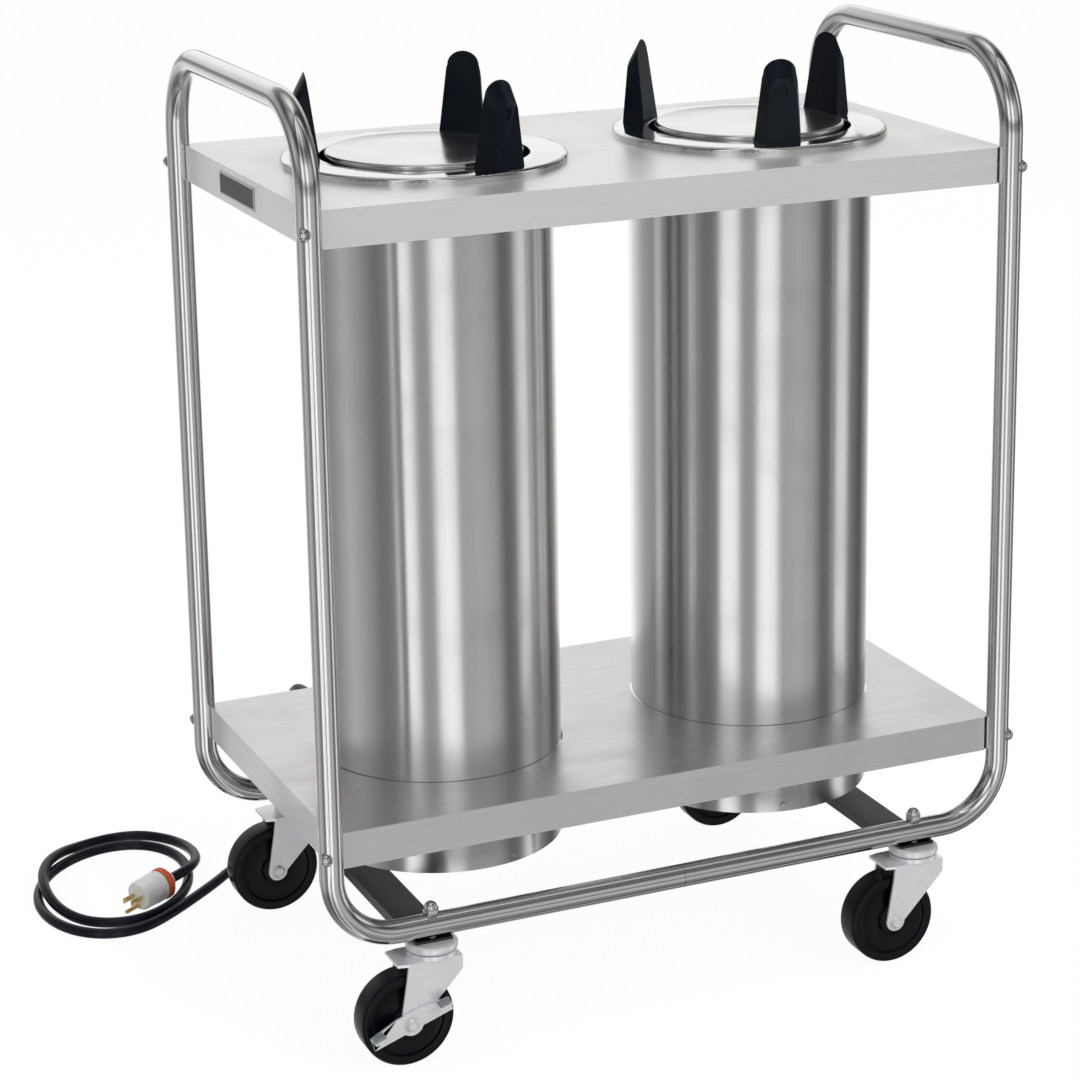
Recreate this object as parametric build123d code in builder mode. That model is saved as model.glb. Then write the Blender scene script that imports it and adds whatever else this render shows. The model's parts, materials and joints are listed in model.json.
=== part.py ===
"""Two-stack heated plate dispenser on a tubular cart frame.

Millimetres, +Z up, +X along the cart's length, -Y towards its front.
The origin is on the floor, under the middle of the frame.
"""
import os
from math import cos, radians, sin, sqrt

from build123d import *

os.makedirs("parts", exist_ok=True)

# Frame tube, bent in two halves that meet in the middle of the bottom rails
TUBE_DIAMETER = 25.4
TUBE_WALL = 1.65
LEG_SPACING_X = 789.0
LEG_SPACING_Y = 434.0
RAIL_HEIGHT = 146.0
RAIL_BEND = 70.0
HANDLE_BEND = 85.0
SEAM_GAP = 0.4
SPLICE_LENGTH = 90.0
SPLICE_WALL = 1.5
SPLICE_CLEARANCE = 0.05

# Deck and shelf pans; the handle stands above the deck by its own rise
DECK_TOP = 909.0
HANDLE_RISE = 100.0
SHELF_TOP = 263.0
PAN_FLANGE = 39.0
PAN_LIP = 12.0
PAN_SHEET = 1.5
PAN_CLIP = 10.0
PAN_TO_TUBE = 0.1

# Diagonal screws that hold the pan corners to the legs
SCREW_SHANK = 6.0
SCREW_HEAD = 13.0
SCREW_HEAD_HEIGHT = 6.5
SCREW_SPOT_DEPTH = 0.8
SCREW_SPOT = 15.0
SCREW_TIP = 6.5
SCREW_CLEARANCE = 0.2
SCREW_DROP = 20.0
SCREW_DOME_TAPER = 35.0
NUT_FLATS = 10.0
NUT_HEIGHT = 5.0

# Dispenser tubes
STACK_SPACING = 383.0
SHELL_DIAMETER = 270.0
SHELL_WALL = 1.2
SHELL_BOTTOM = 159.0
SHELL_TO_SHELF = 1.5
LINER_DIAMETER = 228.0
LINER_WALL = 0.9
LINER_FLANGE_DIAMETER = 266.0
SLOT_WIDTH = 13.0
SLOT_END = 16.5

# Polished collar on the deck
COLLAR_DIAMETER = 303.0
COLLAR_HEIGHT = 8.0
COLLAR_SHEET = 1.5
COLLAR_THROAT = 22.0
COLLAR_EDGE = 4.0
COLLAR_LIP_EDGE = 1.2
THROAT_CLEARANCE = 0.3

# Carrier that rises and sinks with the stack
PLATE_DIAMETER = 209.0
PLATE_SHEET = 1.5
PLATE_RIM = 12.0
PLATE_PROUD = 5.0
CAGE_HEIGHT = 300.0
CAGE_ROD = 8.0
CAGE_ROD_CIRCLE = 190.0
CAGE_RING_INNER = 160.0
CAGE_RING_OUTER = 206.0
CAGE_SHEET = 4.0
ARM_WIDTH = 9.0
ARM_REACH = 259.0
CARRIER_TRAVEL = 430.0
SPRING_DIAMETER = 11.0
SPRING_CIRCLE = 247.0
ARM_COUNT = 3

# Guide posts on the collars
POST_COUNT = 3
POST_HEIGHT = 90.0
POST_SETBACK = 25.0
POST_BASE_DEPTH = 27.0
POST_BASE_INNER = 52.0
POST_BASE_OUTER = 37.0
POST_TOP_DEPTH = 9.0
POST_TOP_INNER = 35.0
POST_TOP_OUTER = 27.0
POST_TOP_LEAN = 2.0
POST_EAR = 3.0
POST_ARCH_RADIUS = 18.0
POST_CROWN_SLOPE = 62.0
POST_DIMPLE = 11.0
POST_DIMPLE_DEPTH = 1.2
POST_DIMPLE_HEIGHT = 56.0
LEFT_POST_ANGLE = 48.0
RIGHT_POST_ANGLE = 18.3
POST_SCREW = 5.0
POST_SCREW_HEAD = 9.0
POST_SCREW_HEAD_HEIGHT = 3.5
POST_SCREW_DEPTH = 18.0

# Bottom caps, heaters and thermostats inside the tubes
CAP_SHEET = 1.2
CAP_FLANGE = 18.0
CAP_INSET = 1.5
CAP_CLEARANCE = 0.2
CAP_SCREW = 4.0
CAP_SCREW_HEAD = 7.0
CAP_SCREW_HEAD_HEIGHT = 2.2
CAP_SCREW_LENGTH = 8.0
CAP_SCREW_TAPER = 20.0
CAP_SCREW_HEIGHT = 8.0
CAP_SCREW_COUNT = 3
LEFT_CAP_ANGLE = -75.0
RIGHT_CAP_ANGLE = -100.0
HEATER_OUTER = 190.0
HEATER_INNER = 110.0
HEATER_THICKNESS = 5.0
THERMOSTAT_DIAMETER = 14.0
THERMOSTAT_HEIGHT = 12.0
THERMOSTAT_ANGLE = 150.0

# Cross bars under the rails
BAR_SPACING = 576.0
BAR_WIDTH = 41.0
BAR_SHEET = 3.0
BAR_LIP = 9.0
BAR_LIP_SETBACK = 46.0
BAR_OVERHANG = 10.0

# Swivel casters
WHEEL_DIAMETER = 101.6
WHEEL_WIDTH = 32.0
WHEEL_EDGE = 4.0
WHEEL_HUB = 34.0
WHEEL_HUB_WIDTH = 36.0
WHEEL_RECESS_OUTER = 78.0
WHEEL_RECESS_INNER = 40.0
WHEEL_RECESS_DEPTH = 4.0
CASTER_TRAIL = 33.0
HEAD_DIAMETER = 56.0
HEAD_HEIGHT = 9.0
HEAD_EDGE = 4.0
RACE_DIAMETER = 53.0
RACE_HEIGHT = 4.6
RACE_GAP = 0.3
STEM_DIAMETER = 10.0
STEM_CLEARANCE = 0.25
KINGPIN_DIAMETER = 12.0
KINGPIN_CLEARANCE = 0.05
FORK_SHEET = 3.0
FORK_GAP = 1.0
CROWN_BACK = 45.0
FORK_TOP_BACK = 33.0
FORK_TOP_FRONT = 26.0
FORK_SKIRT = 24.0
FORK_BOSS = 11.0
AXLE_DIAMETER = 9.5
AXLE_CLEARANCE = 0.05
AXLE_HEAD = 15.0
AXLE_HEAD_HEIGHT = 4.5
ACORN_FLATS = 16.0
ACORN_HEIGHT = 14.0
ACORN_HEX = 6.5
ACORN_TAPER = 25.0

# Brake levers on the front left and rear right casters
LEVER_SHEET = 2.5
LEVER_GAP = 0.4
LEVER_LENGTH = 92.0
LEVER_TILT = 19.0
LEVER_HUB = 13.0
LEVER_END = 7.5
TREAD_DEPTH = 13.0
TREAD_LENGTH = 14.0
PAD_HEIGHT = 3.0
PAD_MARGIN = 1.0

# Blank rating plate on the deck's left flange
LABEL_WIDTH = 116.0
LABEL_HEIGHT = 25.0
LABEL_THICKNESS = 0.8
LABEL_Y = 22.0
LABEL_EDGE = 2.0

# Junction box under the shelf, strain relief, cord and plug
BOX_X = -262.0
BOX_WIDTH = 88.0
BOX_DEPTH = 58.0
BOX_HEIGHT = 36.0
BOX_WALL = 2.0
BOX_CORNER = 4.0
RELIEF_BASE = 22.0
RELIEF_NECK = 18.0
RELIEF_TIP = 13.5
RELIEF_COLLAR = 5.0
RELIEF_LENGTH = 30.0
RELIEF_DROP = 19.0
CORD_DIAMETER = 12.0
CORNER_SHARE = 0.45

# Loose coil on the floor: egg-shaped turns that drift, the second lying over the first
COIL_X = -487.0
COIL_Y = 323.0
COIL_HALF_WIDTH = 88.0
COIL_HALF_LENGTH = 123.0
COIL_TILT = -21.0
COIL_EGG = 0.055
COIL_DRIFT_X = 13.0
COIL_DRIFT_Y = 27.0
COIL_START = -40.0
COIL_STEPS = 15
COIL_POINT_COUNT = 27
COIL_REACH = 150.0
CROSSING_GAP = 1.5
CROSSING_TURN = 1.39
CROSSING_HOLD = 0.04
CROSSING_RAMP = 0.12

# Plug
PLUG_DIAMETER = 37.0
PLUG_BODY_LENGTH = 44.0
PLUG_NECK_DIAMETER = 24.0
PLUG_NECK_LENGTH = 8.0
PLUG_RING_LENGTH = 9.0
PLUG_RING_PROUD = 0.8
PLUG_EDGE = 2.0
BLADE_LENGTH = 17.0
BLADE_HEIGHT = 6.4
BLADE_THICKNESS = 1.6
BLADE_SPACING = 12.7
EARTH_PIN_DIAMETER = 4.8
EARTH_PIN_OFFSET = 11.0
EARTH_PIN_LENGTH = 20.0

# Values that follow from the ones above
TUBE_RADIUS = TUBE_DIAMETER / 2
HANDLE_HEIGHT = DECK_TOP + HANDLE_RISE
LEG_X = LEG_SPACING_X / 2
LEG_Y = LEG_SPACING_Y / 2
CLIP_OFFSET = (TUBE_RADIUS + PAN_TO_TUBE) / sqrt(2)
PAN_X = LEG_X - CLIP_OFFSET + PAN_CLIP / 2
PAN_Y = LEG_Y - CLIP_OFFSET + PAN_CLIP / 2
STACK_X = STACK_SPACING / 2
SHELL_RADIUS = SHELL_DIAMETER / 2
SHELL_INNER = SHELL_RADIUS - SHELL_WALL
DECK_UNDERSIDE = DECK_TOP - PAN_SHEET
SHELF_UNDERSIDE = SHELF_TOP - PAN_SHEET
LINER_RADIUS = LINER_DIAMETER / 2
LINER_INNER = LINER_RADIUS - LINER_WALL
THROAT_OUTER = LINER_INNER - THROAT_CLEARANCE
THROAT_INNER = THROAT_OUTER - COLLAR_SHEET
COLLAR_TOP = DECK_TOP + COLLAR_HEIGHT
POST_CIRCLE = COLLAR_DIAMETER - 2 * POST_SETBACK
PLATE_TOP = COLLAR_TOP + PLATE_PROUD
CAGE_BOTTOM = PLATE_TOP - CAGE_HEIGHT
CAGE_TOP = CAGE_BOTTOM + CAGE_SHEET
SLOT_TOP = CAGE_TOP + CAGE_SHEET
SLOT_BOTTOM = CAGE_BOTTOM - CARRIER_TRAVEL - SLOT_END
CAP_BOTTOM = SHELL_BOTTOM + CAP_INSET
CAP_TOP = CAP_BOTTOM + CAP_SHEET
CAP_OUTER = SHELL_INNER - CAP_CLEARANCE
RAIL_TOP = RAIL_HEIGHT + TUBE_RADIUS
RAIL_BOTTOM = RAIL_HEIGHT - TUBE_RADIUS
BAR_BOTTOM = RAIL_BOTTOM - BAR_SHEET
BAR_X = BAR_SPACING / 2
HEAD_BOTTOM = BAR_BOTTOM - HEAD_HEIGHT
RACE_TOP = HEAD_BOTTOM - RACE_GAP
CROWN_TOP = RACE_TOP - RACE_HEIGHT
CROWN_BOTTOM = CROWN_TOP - FORK_SHEET
WHEEL_RADIUS = WHEEL_DIAMETER / 2
FORK_INNER = WHEEL_HUB_WIDTH / 2 + FORK_GAP
FORK_OUTER = FORK_INNER + FORK_SHEET
CASTERS = (
    ("front_left", -BAR_X, -LEG_Y, -1),
    ("front_right", BAR_X, -LEG_Y, 0),
    ("rear_left", -BAR_X, LEG_Y, 0),
    ("rear_right", BAR_X, LEG_Y, 1),
)
STACKS = (
    ("left", -STACK_X, LEFT_POST_ANGLE, LEFT_CAP_ANGLE),
    ("right", STACK_X, RIGHT_POST_ANGLE, RIGHT_CAP_ANGLE),
)
PAN_SCREW_LEVELS = (DECK_TOP - SCREW_DROP, SHELF_TOP - SCREW_DROP)


def save(piece, name):
    """Label a finished piece and write it as its own file."""
    piece.label = name
    export_step(piece, f"parts/{name}.step")
    print(name, "volume", round(piece.volume), "solids", len(piece.solids()))


def corner_plane(sx, sy, height, distance):
    """Plane at a leg, its normal pointing diagonally out of the cart's corner."""
    step = distance / sqrt(2)
    origin = (sx * (LEG_X + step), sy * (LEG_Y + step), height)
    return Plane(origin=origin, x_dir=(-sy, sx, 0), z_dir=(sx, sy, 0))


def radial_plane(x, radius, angle, height):
    """Plane on a circle round a stack's axis, its normal pointing outwards."""
    way = (cos(radians(angle)), sin(radians(angle)), 0)
    origin = (x + radius * way[0], radius * way[1], height)
    return Plane(origin=origin, x_dir=(-way[1], way[0], 0), z_dir=way)


CORNERS = [(sx, sy) for sx in (-1, 1) for sy in (-1, 1)]

# Frame tubes
for side, sign in (("left", -1), ("right", 1)):
    route = [
        (sign * SEAM_GAP / 2, -LEG_Y, RAIL_HEIGHT),
        (sign * LEG_X, -LEG_Y, RAIL_HEIGHT),
        (sign * LEG_X, -LEG_Y, HANDLE_HEIGHT),
        (sign * LEG_X, LEG_Y, HANDLE_HEIGHT),
        (sign * LEG_X, LEG_Y, RAIL_HEIGHT),
        (sign * SEAM_GAP / 2, LEG_Y, RAIL_HEIGHT),
    ]
    with BuildPart() as frame_tube:
        with BuildLine() as tube_route:
            FilletPolyline(*route, radius=[RAIL_BEND, HANDLE_BEND, HANDLE_BEND, RAIL_BEND])
        with BuildSketch(Plane(origin=tube_route.line @ 0, z_dir=tube_route.line % 0)):
            Circle(TUBE_RADIUS)
            Circle(TUBE_RADIUS - TUBE_WALL, mode=Mode.SUBTRACT)
        sweep()
        for sy in (-1, 1):
            for level in PAN_SCREW_LEVELS:
                with BuildSketch(corner_plane(sign, sy, level, -TUBE_RADIUS)):
                    Circle(SCREW_SHANK / 2 + SCREW_CLEARANCE)
                extrude(amount=TUBE_DIAMETER, mode=Mode.SUBTRACT)
                with BuildSketch(corner_plane(sign, sy, level, TUBE_RADIUS - SCREW_SPOT_DEPTH)):
                    Circle(SCREW_SPOT / 2)
                extrude(amount=SCREW_SPOT_DEPTH, mode=Mode.SUBTRACT)
            with BuildSketch(Plane.XY.offset(RAIL_BOTTOM)):
                with Locations((sign * BAR_X, sy * LEG_Y)):
                    Circle(STEM_DIAMETER / 2 + STEM_CLEARANCE)
            extrude(amount=TUBE_DIAMETER, mode=Mode.SUBTRACT)
    save(frame_tube.part, f"frame_tube_{side}")

# Splice sleeves inside the rail seams
SPLICE_RADIUS = TUBE_RADIUS - TUBE_WALL - SPLICE_CLEARANCE
with BuildPart() as rail_splices:
    for sy in (-1, 1):
        with BuildSketch(Plane.YZ.offset(-SPLICE_LENGTH / 2)):
            with Locations((sy * LEG_Y, RAIL_HEIGHT)):
                Circle(SPLICE_RADIUS)
                Circle(SPLICE_RADIUS - SPLICE_WALL, mode=Mode.SUBTRACT)
        extrude(amount=SPLICE_LENGTH)
save(rail_splices.part, "rail_splices")


def pan(top, hole_radius):
    """A folded pan with clipped corners, inward lips and two round holes."""
    with BuildPart() as tray:
        with BuildSketch(Plane.XY.offset(top)) as face:
            Rectangle(2 * PAN_X, 2 * PAN_Y)
            chamfer(face.vertices(), PAN_CLIP)
        extrude(amount=-PAN_FLANGE)
        with BuildSketch(Plane.XY.offset(top - PAN_SHEET)) as inside:
            Rectangle(2 * (PAN_X - PAN_SHEET), 2 * (PAN_Y - PAN_SHEET))
            chamfer(inside.vertices(), PAN_CLIP)
        extrude(amount=-(PAN_FLANGE - 2 * PAN_SHEET), mode=Mode.SUBTRACT)
        with BuildSketch(Plane.XY.offset(top - PAN_SHEET)) as mouth:
            Rectangle(2 * (PAN_X - PAN_LIP), 2 * (PAN_Y - PAN_LIP))
            chamfer(mouth.vertices(), PAN_CLIP)
        extrude(amount=-PAN_FLANGE, mode=Mode.SUBTRACT)
        with BuildSketch(Plane.XY.offset(top)):
            with Locations((-STACK_X, 0), (STACK_X, 0)):
                Circle(hole_radius)
        extrude(amount=-PAN_FLANGE, mode=Mode.SUBTRACT)
        for sx, sy in CORNERS:
            with BuildSketch(corner_plane(sx, sy, top - SCREW_DROP, -TUBE_RADIUS - PAN_CLIP)):
                Circle(SCREW_SHANK / 2 + SCREW_CLEARANCE)
            extrude(amount=2 * PAN_CLIP, mode=Mode.SUBTRACT)
    return tray.part


save(pan(DECK_TOP, LINER_RADIUS), "top_deck")

relief_level = SHELF_TOP - RELIEF_DROP
with BuildPart() as lower_shelf:
    add(pan(SHELF_TOP, SHELL_RADIUS + SHELL_TO_SHELF))
    with BuildSketch(Plane(origin=(BOX_X, PAN_Y, relief_level), z_dir=(0, 1, 0))):
        Circle(RELIEF_NECK / 2)
    extrude(amount=-PAN_SHEET, mode=Mode.SUBTRACT)
save(lower_shelf.part, "lower_shelf")

# Diagonal screws with domed heads, and their nuts inside the pans
SCREW_SEAT = TUBE_RADIUS - SCREW_SPOT_DEPTH
CLIP_INSIDE = -TUBE_RADIUS - PAN_TO_TUBE - PAN_SHEET * (2 - sqrt(2) / 2)
with BuildPart() as frame_screws:
    for level in PAN_SCREW_LEVELS:
        for sx, sy in CORNERS:
            with BuildSketch(corner_plane(sx, sy, level, SCREW_SEAT)):
                Circle(SCREW_HEAD / 2)
            extrude(amount=SCREW_HEAD_HEIGHT / 2)
            with BuildSketch(corner_plane(sx, sy, level, SCREW_SEAT + SCREW_HEAD_HEIGHT / 2)):
                Circle(SCREW_HEAD / 2)
            extrude(amount=SCREW_HEAD_HEIGHT / 2, taper=SCREW_DOME_TAPER)
            with BuildSketch(corner_plane(sx, sy, level, SCREW_SEAT)):
                Circle(SCREW_SHANK / 2)
            extrude(amount=-(SCREW_SEAT - CLIP_INSIDE + SCREW_TIP))
save(frame_screws.part, "frame_screws")

NUT_FACE = CLIP_INSIDE - PAN_SHEET
with BuildPart() as frame_nuts:
    for level in PAN_SCREW_LEVELS:
        for sx, sy in CORNERS:
            with BuildSketch(corner_plane(sx, sy, level, NUT_FACE)):
                RegularPolygon(NUT_FLATS / 2, 6, major_radius=False)
                Circle(SCREW_SHANK / 2, mode=Mode.SUBTRACT)
            extrude(amount=-NUT_HEIGHT)
save(frame_nuts.part, "frame_nuts")

# Blank rating plate
label_centre = (-PAN_X, LABEL_Y, DECK_TOP - PAN_FLANGE / 2)
with BuildPart() as rating_plate:
    with BuildSketch(Plane(origin=label_centre, x_dir=(0, -1, 0), z_dir=(-1, 0, 0))):
        RectangleRounded(LABEL_WIDTH, LABEL_HEIGHT, LABEL_EDGE)
    extrude(amount=LABEL_THICKNESS)
save(rating_plate.part, "rating_plate")

# Dispenser tubes and what they hold
for side, x, post_angle, cap_angle in STACKS:
    arm_angles = [post_angle + 360 / POST_COUNT / 2 + 360 / ARM_COUNT * k for k in range(ARM_COUNT)]
    cap_angles = [cap_angle + 360 / CAP_SCREW_COUNT * k for k in range(CAP_SCREW_COUNT)]
    cap_screw_level = SHELL_BOTTOM + CAP_SCREW_HEIGHT

    with BuildPart() as shell:
        with BuildSketch(Plane.XY.offset(SHELL_BOTTOM)):
            with Locations((x, 0)):
                Circle(SHELL_RADIUS)
                Circle(SHELL_INNER, mode=Mode.SUBTRACT)
        extrude(amount=DECK_UNDERSIDE - SHELL_BOTTOM)
        for angle in cap_angles:
            with BuildSketch(radial_plane(x, SHELL_RADIUS, angle, cap_screw_level)):
                Circle(CAP_SCREW / 2 + SCREW_CLEARANCE)
            extrude(amount=-2 * SHELL_WALL, mode=Mode.SUBTRACT)
    save(shell.part, f"shell_{side}")

    with BuildPart() as liner:
        with BuildSketch(Plane.XY.offset(CAP_TOP)):
            with Locations((x, 0)):
                Circle(LINER_RADIUS)
                Circle(LINER_INNER, mode=Mode.SUBTRACT)
        extrude(amount=DECK_UNDERSIDE - CAP_TOP)
        with BuildSketch(Plane.XY.offset(DECK_UNDERSIDE)):
            with Locations((x, 0)):
                Circle(LINER_FLANGE_DIAMETER / 2)
                Circle(LINER_INNER, mode=Mode.SUBTRACT)
        extrude(amount=-PAN_SHEET)
        for angle in arm_angles:
            slot_middle = (SLOT_BOTTOM + SLOT_TOP) / 2
            with BuildSketch(radial_plane(x, LINER_RADIUS + LINER_WALL, angle, slot_middle)):
                SlotOverall(SLOT_TOP - SLOT_BOTTOM, SLOT_WIDTH, rotation=90)
            extrude(amount=-4 * LINER_WALL, mode=Mode.SUBTRACT)
    save(liner.part, f"liner_{side}")

    with BuildPart() as collar:
        with BuildSketch(Plane(origin=(x, 0, 0), x_dir=(1, 0, 0), z_dir=(0, -1, 0))) as profile:
            with BuildLine():
                Polyline(
                    (THROAT_INNER, DECK_TOP - COLLAR_THROAT),
                    (THROAT_OUTER, DECK_TOP - COLLAR_THROAT),
                    (THROAT_OUTER, COLLAR_TOP - COLLAR_SHEET),
                    (COLLAR_DIAMETER / 2 - COLLAR_SHEET, COLLAR_TOP - COLLAR_SHEET),
                    (COLLAR_DIAMETER / 2 - COLLAR_SHEET, DECK_TOP),
                    (COLLAR_DIAMETER / 2, DECK_TOP),
                    (COLLAR_DIAMETER / 2, COLLAR_TOP),
                    (THROAT_INNER, COLLAR_TOP),
                    close=True,
                )
            make_face()
            for corner, rounding in (
                ((COLLAR_DIAMETER / 2, COLLAR_TOP), COLLAR_EDGE),
                ((COLLAR_DIAMETER / 2 - COLLAR_SHEET, COLLAR_TOP - COLLAR_SHEET), COLLAR_EDGE - COLLAR_SHEET),
                ((THROAT_INNER, COLLAR_TOP), COLLAR_LIP_EDGE),
            ):
                fillet(profile.vertices().sort_by_distance(corner)[0], rounding)
        revolve(axis=Axis((x, 0, 0), (0, 0, 1)))
        for k in range(POST_COUNT):
            angle = post_angle + 360 / POST_COUNT * k
            spot = (x + POST_CIRCLE / 2 * cos(radians(angle)), POST_CIRCLE / 2 * sin(radians(angle)))
            with BuildSketch(Plane.XY.offset(COLLAR_TOP)):
                with Locations(spot):
                    Circle(POST_SCREW / 2 + SCREW_CLEARANCE)
            extrude(amount=-COLLAR_SHEET, mode=Mode.SUBTRACT)
    save(collar.part, f"collar_{side}")

    with BuildPart() as bottom_cap:
        with BuildSketch(Plane.XY.offset(CAP_BOTTOM)):
            with Locations((x, 0)):
                Circle(CAP_OUTER)
        extrude(amount=CAP_FLANGE)
        with BuildSketch(Plane.XY.offset(CAP_TOP)):
            with Locations((x, 0)):
                Circle(CAP_OUTER - CAP_SHEET)
        extrude(amount=CAP_FLANGE, mode=Mode.SUBTRACT)
        for angle in cap_angles:
            with BuildSketch(radial_plane(x, CAP_OUTER, angle, cap_screw_level)):
                Circle(CAP_SCREW / 2 + SCREW_CLEARANCE)
            extrude(amount=-2 * CAP_SHEET, mode=Mode.SUBTRACT)
    save(bottom_cap.part, f"bottom_cap_{side}")

    with BuildPart() as carrier_plate:
        with BuildSketch(Plane.XY.offset(PLATE_TOP)):
            with Locations((x, 0)):
                Circle(PLATE_DIAMETER / 2)
        extrude(amount=-PLATE_RIM)
        fillet(carrier_plate.faces().sort_by(Axis.Z)[-1].edges(), PLATE_SHEET)
        with BuildSketch(Plane.XY.offset(PLATE_TOP - PLATE_SHEET)):
            with Locations((x, 0)):
                Circle(PLATE_DIAMETER / 2 - PLATE_SHEET)
        extrude(amount=-PLATE_RIM, mode=Mode.SUBTRACT)
    save(carrier_plate.part, f"carrier_plate_{side}")

    rod_length = CAGE_HEIGHT - PLATE_SHEET - CAGE_SHEET
    with BuildPart() as carrier_cage:
        with BuildSketch(Plane.XY.offset(CAGE_BOTTOM)):
            with Locations((x, 0)):
                Circle(CAGE_RING_OUTER / 2)
            for angle in arm_angles:
                with Locations(Location((x, 0, 0), (0, 0, angle))):
                    with Locations((ARM_REACH / 4, 0)):
                        Rectangle(ARM_REACH / 2, ARM_WIDTH)
            with Locations((x, 0)):
                Circle(CAGE_RING_INNER / 2, mode=Mode.SUBTRACT)
        extrude(amount=CAGE_SHEET)
        with BuildSketch(Plane.XY.offset(CAGE_TOP)):
            with Locations((x, 0)):
                with PolarLocations(CAGE_ROD_CIRCLE / 2, ARM_COUNT, start_angle=post_angle):
                    Circle(CAGE_ROD / 2)
        extrude(amount=rod_length)
    save(carrier_cage.part, f"carrier_cage_{side}")

    with BuildPart() as springs:
        with BuildSketch(Plane.XY.offset(CAGE_TOP)):
            with Locations((x, 0)):
                with PolarLocations(SPRING_CIRCLE / 2, ARM_COUNT, start_angle=arm_angles[0]):
                    Circle(SPRING_DIAMETER / 2)
        extrude(amount=DECK_UNDERSIDE - PAN_SHEET - CAGE_TOP)
    save(springs.part, f"springs_{side}")

    # Guide posts: a tapered block, cut to an arch that slopes down outwards
    for k in range(POST_COUNT):
        angle = post_angle + 360 / POST_COUNT * k
        way = Vector(cos(radians(angle)), sin(radians(angle)), 0)
        base_origin = Vector(x, 0, COLLAR_TOP) + way * (POST_CIRCLE / 2)
        base_plane = Plane(origin=base_origin, x_dir=way, z_dir=(0, 0, 1))
        with BuildPart() as post:
            for plane, lean, depth, inner, outer in (
                (base_plane, 0, POST_BASE_DEPTH, POST_BASE_INNER, POST_BASE_OUTER),
                (base_plane.offset(POST_HEIGHT), POST_TOP_LEAN, POST_TOP_DEPTH, POST_TOP_INNER, POST_TOP_OUTER),
            ):
                with BuildSketch(plane):
                    with BuildLine():
                        Polyline(
                            (lean - depth / 2, -inner / 2),
                            (lean - depth / 2 + POST_EAR, -inner / 2),
                            (lean + depth / 2, -outer / 2),
                            (lean + depth / 2, outer / 2),
                            (lean - depth / 2 + POST_EAR, inner / 2),
                            (lean - depth / 2, inner / 2),
                            close=True,
                        )
                    make_face()
            loft(ruled=True)
            arch_height = POST_HEIGHT - POST_ARCH_RADIUS
            arch_origin = base_origin + way * (POST_TOP_LEAN - POST_TOP_DEPTH / 2)
            with BuildSketch(Plane(origin=arch_origin, x_dir=base_plane.y_dir, z_dir=way)):
                with BuildLine():
                    shoulders = Polyline(
                        (-POST_ARCH_RADIUS, arch_height),
                        (-POST_BASE_INNER, -POST_HEIGHT),
                        (POST_BASE_INNER, -POST_HEIGHT),
                        (POST_ARCH_RADIUS, arch_height),
                    )
                    ThreePointArc(shoulders @ 1, (0, POST_HEIGHT), shoulders @ 0)
                make_face()
            slope = radians(POST_CROWN_SLOPE)
            fall = way * cos(slope) - Vector(0, 0, sin(slope))
            extrude(amount=POST_HEIGHT, dir=fall, both=True, mode=Mode.INTERSECT)
            outer_low = base_origin + way * (POST_BASE_DEPTH / 2)
            outer_high = base_origin + way * (POST_TOP_LEAN + POST_TOP_DEPTH / 2) + Vector(0, 0, POST_HEIGHT)
            rise = outer_high - outer_low
            dimple_origin = outer_low + rise * (POST_DIMPLE_HEIGHT / POST_HEIGHT)
            with BuildSketch(Plane(origin=dimple_origin, x_dir=base_plane.y_dir, z_dir=base_plane.y_dir.cross(rise))):
                Circle(POST_DIMPLE / 2)
            extrude(amount=-POST_DIMPLE_DEPTH, mode=Mode.SUBTRACT)
            with BuildSketch(base_plane):
                Circle(POST_SCREW / 2)
            extrude(amount=POST_SCREW_DEPTH, mode=Mode.SUBTRACT)
        save(post.part, f"guide_post_{side}_{k + 1}")

# Heating rings on the bottom caps, and thermostats between liner and shell
with BuildPart() as heaters:
    with BuildSketch(Plane.XY.offset(CAP_TOP)):
        with Locations((-STACK_X, 0), (STACK_X, 0)):
            Circle(HEATER_OUTER / 2)
            Circle(HEATER_INNER / 2, mode=Mode.SUBTRACT)
    extrude(amount=HEATER_THICKNESS)
save(heaters.part, "heaters")

THERMOSTAT_CIRCLE = LINER_RADIUS + CAP_OUTER - CAP_SHEET
with BuildPart() as thermostats:
    with BuildSketch(Plane.XY.offset(CAP_TOP)):
        with Locations((-STACK_X, 0), (STACK_X, 0)):
            with PolarLocations(THERMOSTAT_CIRCLE / 2, 1, start_angle=THERMOSTAT_ANGLE):
                Circle(THERMOSTAT_DIAMETER / 2)
    extrude(amount=THERMOSTAT_HEIGHT)
save(thermostats.part, "thermostats")

# Screws that hold the guide posts from under the collars
with BuildPart() as post_screws:
    for side, x, post_angle, cap_angle in STACKS:
        for k in range(POST_COUNT):
            angle = post_angle + 360 / POST_COUNT * k
            spot = (x + POST_CIRCLE / 2 * cos(radians(angle)), POST_CIRCLE / 2 * sin(radians(angle)))
            with BuildSketch(Plane.XY.offset(COLLAR_TOP - COLLAR_SHEET)):
                with Locations(spot):
                    Circle(POST_SCREW_HEAD / 2)
            extrude(amount=-POST_SCREW_HEAD_HEIGHT)
            with BuildSketch(Plane.XY.offset(COLLAR_TOP - COLLAR_SHEET)):
                with Locations(spot):
                    Circle(POST_SCREW / 2)
            extrude(amount=POST_SCREW_DEPTH)
save(post_screws.part, "post_screws")

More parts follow.
